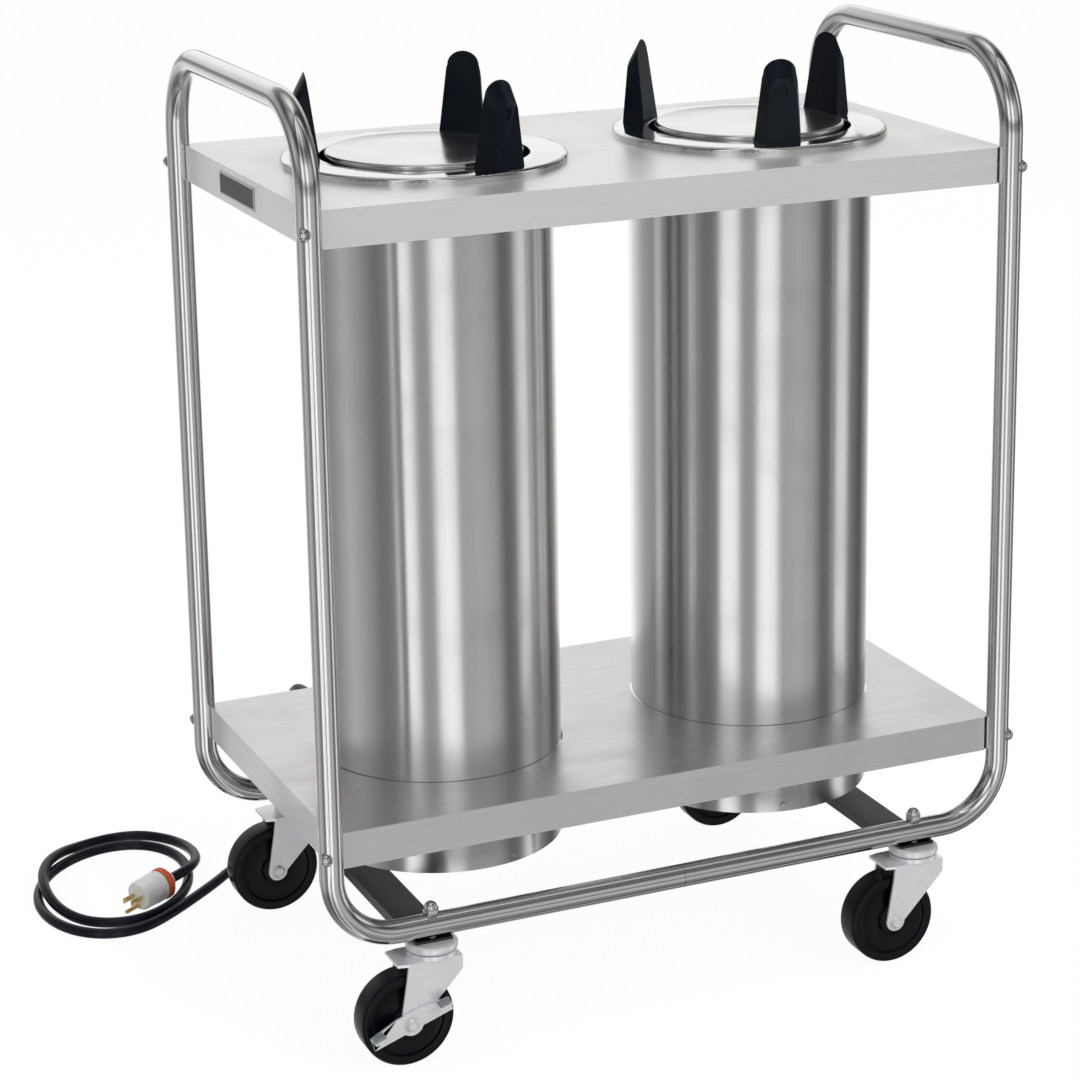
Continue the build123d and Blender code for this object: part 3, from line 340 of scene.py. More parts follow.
def group_node(nodes, name):
    """Places a shared group in a material, building the group the first time."""
    makers = {"grain": make_grain_group, "marks": make_marks_group, "skin": make_pebble_group}
    if name not in GROUPS:
        GROUPS[name] = makers[name]()
    node = nodes.new("ShaderNodeGroup")
    node.node_tree = GROUPS[name]
    return node


# Materials

def new_material(name):
    """A material with its Principled BSDF and object coordinates."""
    material = bpy.data.materials.new(name)
    material.use_nodes = True
    nodes = material.node_tree.nodes
    shader = nodes["Principled BSDF"]
    coordinates = nodes.new("ShaderNodeTexCoord")
    return material, nodes, material.node_tree.links, shader, coordinates.outputs["Object"]


def mapped(nodes, links, vector, scale=(1, 1, 1), location=(0, 0, 0)):
    """The vector moved and stretched by a Mapping node."""
    mapping = nodes.new("ShaderNodeMapping")
    mapping.inputs["Location"].default_value = location
    mapping.inputs["Scale"].default_value = scale
    links.new(vector, mapping.inputs["Vector"])
    return mapping.outputs["Vector"]


def tinted(nodes, links, shader, color, mask, darkening):
    """Base Color: the colour, darkened where the mask is high."""
    mix = nodes.new("ShaderNodeMix")
    mix.data_type = "RGBA"
    mix.inputs["A"].default_value = (*color, 1)
    mix.inputs["B"].default_value = (*(channel * (1 - darkening) for channel in color), 1)
    links.new(mask, mix.inputs["Factor"])
    links.new(mix.outputs["Result"], shader.inputs["Base Color"])


def ranged(nodes, links, mask, low, high):
    """The mask stretched to run from low to high."""
    span = nodes.new("ShaderNodeMapRange")
    span.inputs["From Min"].default_value = 0.25
    span.inputs["From Max"].default_value = 0.75
    span.inputs["To Min"].default_value = low
    span.inputs["To Max"].default_value = high
    links.new(mask, span.inputs["Value"])
    return span.outputs["Result"]


def bumped(nodes, links, shader, height, strength, distance):
    """Normal from a height mask."""
    bump = nodes.new("ShaderNodeBump")
    bump.inputs["Strength"].default_value = strength
    bump.inputs["Distance"].default_value = distance
    links.new(height, bump.inputs["Height"])
    links.new(bump.outputs["Normal"], shader.inputs["Normal"])


def brushed_metal(name, color, roughness, stretch, fineness=900.0, spread=0.05, streak=0.12,
                  anisotropy=0.0, turn=0.0, bump=0.12, metallic=1.0):
    """Metal with grain lines along the stretched direction and faint handling marks."""
    material, nodes, links, shader, place = new_material(name)
    shader.inputs["Metallic"].default_value = metallic
    shader.inputs["Anisotropic"].default_value = anisotropy
    shader.inputs["Anisotropic Rotation"].default_value = turn
    grain = group_node(nodes, "grain")
    grain.inputs["Fineness"].default_value = fineness
    links.new(mapped(nodes, links, place, scale=stretch), grain.inputs["Vector"])
    marks = group_node(nodes, "marks")
    links.new(place, marks.inputs["Vector"])
    tinted(nodes, links, shader, color, grain.outputs["Broad"], streak)
    lined = ranged(nodes, links, grain.outputs["Lines"], roughness - spread, roughness + spread)
    links.new(math_node(nodes, links, "ADD", lined,
                        math_node(nodes, links, "MULTIPLY", marks.outputs["Smears"], 0.25)),
              shader.inputs["Roughness"])
    bumped(nodes, links, shader, grain.outputs["Lines"], bump, 0.0001)
    return material


def spun_metal(name, color, roughness, centre, ring_size):
    """Metal turned on a lathe: fine rings round a vertical axis."""
    material, nodes, links, shader, place = new_material(name)
    shader.inputs["Metallic"].default_value = 1.0
    moved = mapped(nodes, links, place, location=(-centre[0], -centre[1], 0))
    rings = nodes.new("ShaderNodeTexWave")
    rings.wave_type = "RINGS"
    rings.rings_direction = "Z"
    rings.inputs["Scale"].default_value = 1 / ring_size
    rings.inputs["Distortion"].default_value = 0.4
    links.new(moved, rings.inputs["Vector"])
    marks = group_node(nodes, "marks")
    links.new(place, marks.inputs["Vector"])
    tinted(nodes, links, shader, color, marks.outputs["Smears"], 0.25)
    ringed = ranged(nodes, links, rings.outputs["Fac"], roughness - 0.02, roughness + 0.04)
    links.new(math_node(nodes, links, "ADD", ringed,
                        math_node(nodes, links, "MULTIPLY", marks.outputs["Smears"], 0.3)),
              shader.inputs["Roughness"])
    bumped(nodes, links, shader, rings.outputs["Fac"], 0.15, 0.00005)
    return material


def moulded(name, color, roughness, skin_size=700.0, bump=0.15, specular=0.5):
    """Moulded plastic or rubber with a fine skin and slight tone changes."""
    material, nodes, links, shader, place = new_material(name)
    shader.inputs["Specular IOR Level"].default_value = specular
    skin = group_node(nodes, "skin")
    skin.inputs["Size"].default_value = skin_size
    links.new(place, skin.inputs["Vector"])
    marks = group_node(nodes, "marks")
    marks.inputs["Scale"].default_value = 22
    links.new(place, marks.inputs["Vector"])
    tinted(nodes, links, shader, color, skin.outputs["Flow"], 0.25)
    toned = ranged(nodes, links, skin.outputs["Flow"], roughness - 0.05, roughness + 0.06)
    links.new(math_node(nodes, links, "ADD", toned,
                        math_node(nodes, links, "MULTIPLY", marks.outputs["Smears"], 0.3)),
              shader.inputs["Roughness"])
    bumped(nodes, links, shader, skin.outputs["Pebble"], bump, 0.0002)
    return material


def plate_finish(name, node):
    """Dark anodised plate with a bright rim round its outer edge."""
    rim_width = 0.0022
    material, nodes, links, shader, place = new_material(name)
    low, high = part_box(node)
    parts = nodes.new("ShaderNodeSeparateXYZ")
    links.new(place, parts.inputs["Vector"])
    rims = []
    for axis in (1, 2):
        away = math_node(nodes, links, "SUBTRACT", parts.outputs[axis], (low[axis] + high[axis]) / 2)
        inner = (high[axis] - low[axis]) / 2 - rim_width
        distance = math_node(nodes, links, "ABSOLUTE", away)
        rims.append(math_node(nodes, links, "GREATER_THAN", distance, inner))
    rim = math_node(nodes, links, "MAXIMUM", *rims)
    mix = nodes.new("ShaderNodeMix")
    mix.data_type = "RGBA"
    mix.inputs["A"].default_value = (0.004, 0.005, 0.010, 1)
    mix.inputs["B"].default_value = (0.55, 0.55, 0.57, 1)
    links.new(rim, mix.inputs["Factor"])
    links.new(mix.outputs["Result"], shader.inputs["Base Color"])
    links.new(rim, shader.inputs["Metallic"])
    grain = group_node(nodes, "grain")
    links.new(mapped(nodes, links, place, scale=(1, 0.03, 1)), grain.inputs["Vector"])
    links.new(ranged(nodes, links, grain.outputs["Lines"], 0.26, 0.36), shader.inputs["Roughness"])
    shader.inputs["Specular IOR Level"].default_value = 0.2
    return material


MATERIALS = {}


def make_materials(scene):
    """Every finish of the object, by its plain name."""
    steel = scene.dispenser_steel
    mould = scene.dispenser_moulding
    cord = scene.dispenser_cord
    color = tuple(steel.steel_color)
    zinc = tuple(steel.zinc_color)
    along_x, along_z = (0.03, 1, 1), (1, 1, 0.02)
    MATERIALS.update(
        tube=brushed_metal("polished_tube", color, steel.tube_roughness, (0.4, 0.4, 0.4), 500,
                           0.03, 0.06),
        sheet=brushed_metal("brushed_sheet", (0.82, 0.81, 0.80), steel.sheet_roughness, along_x, 900,
                            0.06, 0.08, metallic=0.72),
        shell=brushed_metal("shell_steel", color, steel.shell_roughness, along_z, 1500, 0.03, 0.05,
                            anisotropy=0.85, turn=0.25, bump=0.02),
        # The shelf is the deck's sheet steel made darker: painted shade for the shade under the deck.
        shelf=brushed_metal("brushed_shelf_painted_shade", (0.74, 0.73, 0.72), 0.30, along_x, 900, 0.06, 0.08,
                            metallic=0.93),
        cap=brushed_metal("cap_steel", color, 0.32, along_x, 700),
        # The cross bars and rail splices are the frame's steel darkened to a tenth: painted shade for
        # the shade under the shelf.
        bar=brushed_metal("bar_steel", tuple(c * 0.10 for c in color), 0.42, (1, 0.03, 1), 800),
        collar=brushed_metal("polished_ring", color, 0.09, (0.5, 0.5, 0.5), 400, 0.02, 0.05),
        fastener=brushed_metal("bright_fastener", (0.72, 0.72, 0.73), 0.14, (1, 1, 1), 600,
                               0.04, 0.1),
        zinc=brushed_metal("caster_zinc", zinc, 0.30, (1, 1, 1), 350, 0.06, 0.12,
                           metallic=0.6),
        spring=brushed_metal("spring_wire", (0.5, 0.5, 0.5), 0.35, (0.2, 0.2, 1), 900, bump=0.4),
        box=brushed_metal("box_steel", (0.5, 0.5, 0.49), 0.42, (1, 1, 1), 120, 0.10, 0.3),
        heater=brushed_metal("heater_metal", (0.45, 0.43, 0.40), 0.45, (1, 1, 1), 200,
                             0.10, 0.3),
        blank=plate_finish("plate_blank", "rating_plate"),
        brass=brushed_metal("blade_brass", (0.78, 0.58, 0.26), 0.22, (1, 1, 1), 500, 0.05, 0.15),
        post=moulded("post_plastic", tuple(mould.post_color), 0.26, 900, 0.03, 0.22),
        wheel=moulded("wheel_rubber", tuple(mould.wheel_color), 0.28, 600, 0.05, 0.22),
        pad=moulded("pad_plastic", tuple(mould.pad_color), 0.50, 500),
        thermostat=moulded("thermostat_plastic", (0.05, 0.03, 0.02), 0.35),
        relief=moulded("relief_plastic", (0.012, 0.012, 0.016), 0.45),
        jacket=moulded("cord_jacket", tuple(cord.jacket_color), 0.32, 800, 0.05, 0.32),
        plug=moulded("plug_shell", tuple(cord.plug_color), 0.35, 500, 0.08, 0.5),
        ring=moulded("plug_collar", tuple(cord.ring_color), 0.42, 500, 0.10, 0.4),
    )
    for stack in STACKS:
        MATERIALS[f"platform_{stack.side}"] = spun_metal(
            f"platform_steel_{stack.side}", color, 0.16, (stack.x, 0), 0.012)


# Mesh helpers

def spin_profile(bm, profile, origin, axis, steps, closed=False):
    """Turns a profile of (radius, height) pairs round an axis through origin."""
    axis = Vector(axis).normalized()
    side = axis.orthogonal().normalized()
    origin = Vector(origin)
    points = [bm.verts.new(origin + side * radius + axis * height) for radius, height in profile]
    edges = [bm.edges.new(pair) for pair in zip(points, points[1:])]
    if closed:
        edges.append(bm.edges.new((points[-1], points[0])))
    bmesh.ops.spin(bm, geom=points + edges, cent=origin, axis=axis, angle=2 * pi, steps=steps,
                   use_merge=True)


def arc(centre, radius, start, end, count=6):
    """Points of an arc in a profile, angles in degrees."""
    return [
        (centre[0] + radius * cos(radians(start + (end - start) * k / count)),
         centre[1] + radius * sin(radians(start + (end - start) * k / count)))
        for k in range(count + 1)
    ]


def mark_sharp(bm):
    """Smooth faces, with sharp edges where the surface turns quickly."""
    for face in bm.faces:
        face.smooth = True
    for edge in bm.edges:
        edge.smooth = not edge.is_manifold or edge.calc_face_angle(0) < SHARP


def finish_piece(bm, name, material, *nodes):
    """Makes the mesh an object that replaces CAD nodes and rides on their body."""
    bmesh.ops.remove_doubles(bm, verts=bm.verts, dist=1e-6)
    bmesh.ops.recalc_face_normals(bm, faces=bm.faces)
    mark_sharp(bm)
    mesh = bpy.data.meshes.new(name)
    bm.to_mesh(mesh)
    bm.free()
    return place_piece(bpy.data.objects.new(name, mesh), material, *nodes)


def place_piece(piece, material, *nodes):
    """Links a piece, gives it its material and body, and hides the nodes it stands for."""
    bpy.context.scene.collection.objects.link(piece)
    piece.data.materials.clear()
    piece.data.materials.append(MATERIALS[material])
    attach(piece, NODES[nodes[0]]["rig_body"])
    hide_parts(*nodes)
    return piece


def refined(node, material, rounding=0.0, segments=2):
    """A merged, smooth shaded copy of a CAD node, with its hard edges rounded."""
    bm = bmesh.new()
    bm.from_mesh(NODES[node].data)
    bmesh.ops.remove_doubles(bm, verts=bm.verts, dist=2e-6)
    bmesh.ops.dissolve_limit(bm, angle_limit=radians(0.5), verts=bm.verts, edges=bm.edges)
    mark_sharp(bm)
    mesh = bpy.data.meshes.new(f"{node}_finished")
    bm.to_mesh(mesh)
    bm.free()
    piece = place_piece(bpy.data.objects.new(mesh.name, mesh), material, node)
    if rounding:
        bevel = piece.modifiers.new("Rounded edges", "BEVEL")
        bevel.width = rounding
        bevel.segments = segments
        bevel.limit_method = "ANGLE"
        bevel.angle_limit = SHARP
        bevel.harden_normals = True
    return piece


def paint(node, material):
    """Gives a CAD node that stays its material."""
    NODES[node].data.materials.clear()
    NODES[node].data.materials.append(MATERIALS[material])


# Pieces

class DISPENSER_OT_frame_tubes(bpy.types.Operator):
    """Polished frame halves with the splices in their seams"""
    bl_idname = "dispenser.frame_tubes"
    bl_label = "Frame tubes"

    def execute(self, context):
        for side in SIDES:
            refined(f"frame_tube_{side}", "tube", 0.0003)
            # The cross bars and the splices get the darkened bar steel, which is painted shade.
            refined(f"cross_bar_{side}", "bar", 0.0008)
        paint("rail_splices", "bar")
        return {"FINISHED"}


class DISPENSER_OT_pans(bpy.types.Operator):
    """Deck and shelf with folded edges, and the blank plate on the deck's flange"""
    bl_idname = "dispenser.pans"
    bl_label = "Deck and shelf"

    def execute(self, context):
        fold = context.scene.dispenser_steel.fold_radius
        # The shelf's material is the deck's steel made darker, as painted shade.
        for node, material in (("top_deck", "sheet"), ("lower_shelf", "shelf")):
            refined(node, material, fold * 0.6, 3)
        refined("rating_plate", "blank", 0.0003)
        return {"FINISHED"}


class DISPENSER_OT_shells(bpy.types.Operator):
    """Brushed outer tubes, their liners and bottom caps"""
    bl_idname = "dispenser.shells"
    bl_label = "Dispenser tubes"

    def execute(self, context):
        for stack in STACKS:
            for node, material in (("shell", "shell"), ("liner", "cap"), ("bottom_cap", "cap")):
                refined(f"{node}_{stack.side}", material, 0.0003)
        return {"FINISHED"}


class DISPENSER_OT_collars(bpy.types.Operator):
    """Polished collars with a rolled outer edge and a turned-down throat"""
    bl_idname = "dispenser.collars"
    bl_label = "Collars"

    def execute(self, context):
        for stack in STACKS:
            refined(f"collar_{stack.side}", "collar", 0.0002)
        return {"FINISHED"}


class DISPENSER_OT_carriers(bpy.types.Operator):
    """Lifting platforms, their cages and springs"""
    bl_idname = "dispenser.carriers"
    bl_label = "Carriers"

    rim_radius: FloatProperty(
        name="Rim radius", description="Rounding of the platform's edge", unit="LENGTH", default=0.003)

    def execute(self, context):
        for stack in STACKS:
            sheet = 0.0015
            radius, top, bottom = stack.plate_radius, stack.plate_top, stack.plate_bottom
            bend = self.rim_radius
            profile = (
                [(0, top), (radius * 0.55, top)]
                + arc((radius - bend, top - bend), bend, 90, 0)
                + [(radius, bottom), (radius - sheet, bottom), (radius - sheet, top - bend)]
                + [(radius - bend, top - sheet), (0, top - sheet)]
            )
            bm = bmesh.new()
            spin_profile(bm, profile, (stack.x, 0, 0), (0, 0, 1), 128)
            finish_piece(bm, f"platform_{stack.side}", f"platform_{stack.side}",
                         f"carrier_plate_{stack.side}")
            refined(f"carrier_cage_{stack.side}", "spring", 0.0003)
            paint(f"springs_{stack.side}", "spring")
        return {"FINISHED"}


class DISPENSER_OT_guide_posts(bpy.types.Operator):
    """Black guide posts with rounded edges"""
    bl_idname = "dispenser.guide_posts"
    bl_label = "Guide posts"

    def execute(self, context):
        rounding = context.scene.dispenser_moulding.post_rounding
        for side in SIDES:
            for number in (1, 2, 3):
                refined(f"guide_post_{side}_{number}", "post", rounding, 3)
        return {"FINISHED"}


class DISPENSER_OT_casters(bpy.types.Operator):
    """Caster heads, forks, axles, wheels, and the brake levers with their pads"""
    bl_idname = "dispenser.casters"
    bl_label = "Casters"

    steps: IntProperty(name="Steps", description="Faces round a wheel", default=96)

    def execute(self, context):
        refined("caster_heads", "zinc", 0.0004)
        for corner in CORNERS:
            refined(f"caster_fork_{corner}", "zinc", 0.0007)
            self.make_axle(corner)
            self.make_wheel(corner)
        for corner in BRAKED:
            refined(f"brake_lever_{corner}", "zinc", 0.0005)
            refined(f"brake_pads_{corner}", "pad", 0.0006)
        return {"FINISHED"}

    def make_axle(self, corner):
        """An axle with a button head on each end, dished inside a raised ring."""
        low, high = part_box(f"caster_axle_{corner}")
        centre = (low + high) / 2
        end, head = (high.y - low.y) / 2, (high.z - low.z) / 2
        shaft, head_depth = 0.0047, 0.0045
        seat = end - head_depth
        half = [(shaft, seat), (head, seat), (head, seat + 0.0016), (head - 0.0012, seat + 0.0030)]
        half += [(0.0052, end), (0.0044, end), (0.0038, end - 0.0010), (0, end - 0.0012)]
        profile = [(radius, -height) for radius, height in reversed(half)] + half
        bm = bmesh.new()
        spin_profile(bm, profile, centre, (0, 1, 0), 40)
        finish_piece(bm, f"axle_{corner}", "zinc", f"caster_axle_{corner}")

    def make_wheel(self, corner):
        """A wheel with a raised hub, a dished web and a rounded tread."""
        low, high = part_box(f"caster_wheel_{corner}")
        centre = (low + high) / 2
        outer = (high.z - low.z) / 2
        hub = (high.y - low.y) / 2
        face, bore, rounding = 0.016, 0.0048, 0.0042
        half = (
            [(bore, hub), (0.0150, hub), (0.0165, hub - 0.0012), (0.0180, face - 0.0034)]
            + [(0.0215, face - 0.0040), (0.0355, face - 0.0040), (0.0385, face - 0.0030)]
            + [(0.0400, face - 0.0004), (0.0410, face), (0.0452, face)]
            + arc((outer - rounding, face - rounding), rounding, 90, 0, 5)
        )
        profile = half + [(radius, -height) for radius, height in reversed(half)]
        bm = bmesh.new()
        spin_profile(bm, profile, centre, (0, 1, 0), self.steps, closed=True)
        finish_piece(bm, f"wheel_{corner}", "wheel", f"caster_wheel_{corner}")


class DISPENSER_OT_fasteners(bpy.types.Operator):
    """Acorn nuts, domed frame screws, cap screws and the nuts inside"""
    bl_idname = "dispenser.fasteners"
    bl_label = "Fasteners"

    dome_radius: FloatProperty(
        name="Dome radius", description="Radius of the acorn nuts' domes", unit="LENGTH", default=0.0072)

    def execute(self, context):
        self.make_acorn_nuts()
        self.make_frame_screws()
        for node in ("frame_nuts", "cap_screws", "post_screws"):
            refined(node, "fastener", 0.0003)
        return {"FINISHED"}

    def make_acorn_nuts(self):
        low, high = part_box("acorn_nuts")
        hex_height, flat, stem_inset = 0.0065, 0.008, 0.0265
        bm = bmesh.new()
        for corner in CORNERS:
            stem_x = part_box(f"caster_fork_{corner}")[1].x - stem_inset
            stem_y = sum(point.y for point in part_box(f"caster_fork_{corner}")) / 2
            hexagon = bmesh.ops.create_cone(
                bm, cap_ends=True, segments=6, radius1=flat / cos(pi / 6), radius2=flat / cos(pi / 6),
                depth=hex_height,
                matrix=Matrix.Translation((stem_x, stem_y, low.z + hex_height / 2))
                @ Matrix.Rotation(pi / 6, 4, "Z"))["verts"]
            bmesh.ops.bevel(
                bm, geom=[edge for edge in {e for v in hexagon for e in v.link_edges}],
                offset=0.0006, segments=2, profile=0.5, affect="EDGES", material=-1)
            dome = (
                [(0.0074, hex_height - 0.0003), (0.0070, hex_height + 0.0015)]
                + arc((0, high.z - low.z - self.dome_radius), self.dome_radius, 14, 90, 8)
            )
            spin_profile(bm, dome, (stem_x, stem_y, low.z), (0, 0, 1), 32)
        finish_piece(bm, "acorn_nuts_finished", "fastener", "acorn_nuts")

    def make_frame_screws(self):
        """Domed heads on washers, along the diagonals of the corners."""
        # each head's outermost rim lies on the node's box
        seat_x, seat_y, below_top = 0.40291, 0.22541, 0.020
        bm = bmesh.new()
        for sign_x in (-1, 1):
            for sign_y in (-1, 1):
                way = Vector((sign_x, sign_y, 0)).normalized()
                for node in ("top_deck", "lower_shelf"):
                    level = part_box(node)[1].z - below_top
                    seat = Vector((sign_x * seat_x, sign_y * seat_y, level))
                    profile = (
                        [(0.0000, -0.001), (0.0075, -0.001), (0.0075, 0.0006), (0.0070, 0.0012)]
                        + [(0.0066, 0.0010), (0.0064, -0.0004), (0.0061, -0.0004), (0.0061, 0.0022)]
                        + arc((0, 0.0004), 0.0062, 20, 90, 8)
                    )
                    spin_profile(bm, profile, seat, way, 32)
        finish_piece(bm, "frame_screws_finished", "fastener", "frame_screws")


class DISPENSER_OT_electrics(bpy.types.Operator):
    """Heaters, thermostats, junction box and the strain relief"""
    bl_idname = "dispenser.electrics"
    bl_label = "Electrical parts"

    def execute(self, context):
        refined("heaters", "heater", 0.0004)
        refined("thermostats", "thermostat", 0.0004)
        refined("junction_box", "box", 0.0006)
        self.make_relief()
        return {"FINISHED"}

    def make_relief(self):
        """A collar and a tapered sleeve with ring grooves."""
        low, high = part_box("strain_relief")
        centre = ((low.x + high.x) / 2, low.y, (low.z + high.z) / 2)
        collar_radius = (high.x - low.x) / 2
        reach = high.y - low.y
        profile = [(0, 0), (0.0088, 0), (0.0088, 0.0016), (collar_radius - 0.0008, 0.0016)]
        profile += [(collar_radius, 0.0024), (collar_radius, 0.0056), (collar_radius - 0.001, 0.0065)]
        start, grooves = 0.0070, 5
        pitch = (reach - 0.0006 - start) / grooves
        for k in range(grooves):
            here = start + pitch * k
            radius = 0.0088 - 0.0022 * k / (grooves - 1)
            profile += [(radius, here), (radius - 0.0002, here + pitch * 0.6)]
            profile += [(radius - 0.0012, here + pitch * 0.68), (radius - 0.0012, here + pitch * 0.92)]
        profile += [(0.0062, reach), (0, reach)]
        bm = bmesh.new()
        spin_profile(bm, profile, centre, (0, 1, 0), 40)
        finish_piece(bm, "cord_relief", "relief", "strain_relief")


class DISPENSER_OT_cord(bpy.types.Operator):
    """The cord with its loose turns on the floor, and its plug"""
    bl_idname = "dispenser.cord"
    bl_label = "Cord and plug"

    def execute(self, context):
        settings = context.scene.dispenser_cord
        curve = bpy.data.curves.new("power_cord", "CURVE")
        curve.dimensions = "3D"
        curve.resolution_u = 12
        curve.bevel_depth = settings.diameter / 2
        curve.bevel_resolution = 6
        curve.use_fill_caps = True
        spline = curve.splines.new("NURBS")
        turns = tuple(self.coil_point(k / COIL_STEPS) for k in range(COIL_POINT_COUNT))
        route = LEAD_POINTS + turns + TAIL_POINTS
        spline.points.add(len(route) - 1)
        for point, place in zip(spline.points, route):
            point.co = (*place, 1)
        spline.order_u = 3
        spline.use_endpoint_u = True
        cord = place_piece(bpy.data.objects.new("power_cord", curve), "jacket", "cord_lead", "cord_coil")
        pieces = [self.make_body(), self.make_ring(), refined("plug_blades", "brass", 0.0003)]
        return {"FINISHED"}

    def coil_point(self, turn):
        """A place on the loose coil, after so many turns."""
        angle, tilt = radians(COIL_START - 360 * turn), radians(COIL_TILT)
        across = COIL_HALF_WIDTH * cos(angle)
        along = COIL_HALF_LENGTH * sin(angle) * (1 + COIL_EGG * cos(angle))
        share = (CROSSING_HOLD + CROSSING_RAMP - abs(turn - CROSSING_TURN)) / CROSSING_RAMP
        return (
            COIL_CENTRE[0] + COIL_DRIFT[0] * turn + across * cos(tilt) - along * sin(tilt),
            COIL_CENTRE[1] + COIL_DRIFT[1] * turn + across * sin(tilt) + along * cos(tilt),
            FLOOR_LEVEL + CROSSING_LIFT * min(1, max(0, share)),
        )

    def plug_axis(self):
        """Where the plug starts and the way it points."""
        start = Vector(TAIL_POINTS[-1])
        return start, (start - Vector(TAIL_POINTS[-2])).normalized()

    def make_body(self):
        """A white shell with a lobed nose, a dished face and a neck for the cord."""
        start, way = self.plug_axis()
        lobes, lobe_depth, lobes_from = 3, 0.09, 0.033
        profile = [(0, 0.0002), (0.0088, 0.0002), (0.0108, 0.0012), (0.0118, 0.0040), (0.0118, 0.0172)]
        profile += [(0.0172, 0.0172), (0.0181, 0.0182), (0.0184, 0.0240), (0.0178, 0.0252)]
        profile += [(0.0178, 0.0262), (0.0184, 0.0272), (0.0184, 0.0300), (0.0180, 0.0340)]
        profile += [(0.0180, 0.0480), (0.0174, 0.0502), (0.0166, 0.0514), (0.0152, 0.0518)]
        profile += [(0.0146, 0.0511), (0, 0.0511)]
        bm = bmesh.new()
        spin_profile(bm, profile, start, way, 64)
        side = way.orthogonal().normalized()
        across = way.cross(side)
        for vertex in bm.verts:
            offset = vertex.co - start
            if offset.dot(way) > lobes_from:
                outward = offset - way * offset.dot(way)
                turn = atan2(outward.dot(across), outward.dot(side))
                vertex.co -= outward * lobe_depth * max(0, cos(turn * lobes)) ** 2
        return finish_piece(bm, "plug_shell", "plug", "plug_body")

    def make_ring(self):
        """The coloured ring, with grip notches round its rim."""
        start, way = self.plug_axis()
        notches, notch_depth, rim_radius = 24, 0.0006, 0.0178
        profile = [(0.0119, 0.0082), (0.0180, 0.0082), (0.0190, 0.0092), (0.0192, 0.0104)]
        profile += [(0.0192, 0.0148), (0.0190, 0.0162), (0.0180, 0.0168), (0.0119, 0.0168)]
        bm = bmesh.new()
        spin_profile(bm, profile, start, way, 96, closed=True)
        side = way.orthogonal().normalized()
        across = way.cross(side)
        for vertex in bm.verts:
            offset = vertex.co - start
            turn = atan2(offset.dot(across), offset.dot(side))
            outward = offset - way * offset.dot(way)
            if outward.length > rim_radius:
                vertex.co -= outward.normalized() * notch_depth * (cos(turn * notches) < 0)
        return finish_piece(bm, "plug_ring_finished", "ring", "plug_ring")


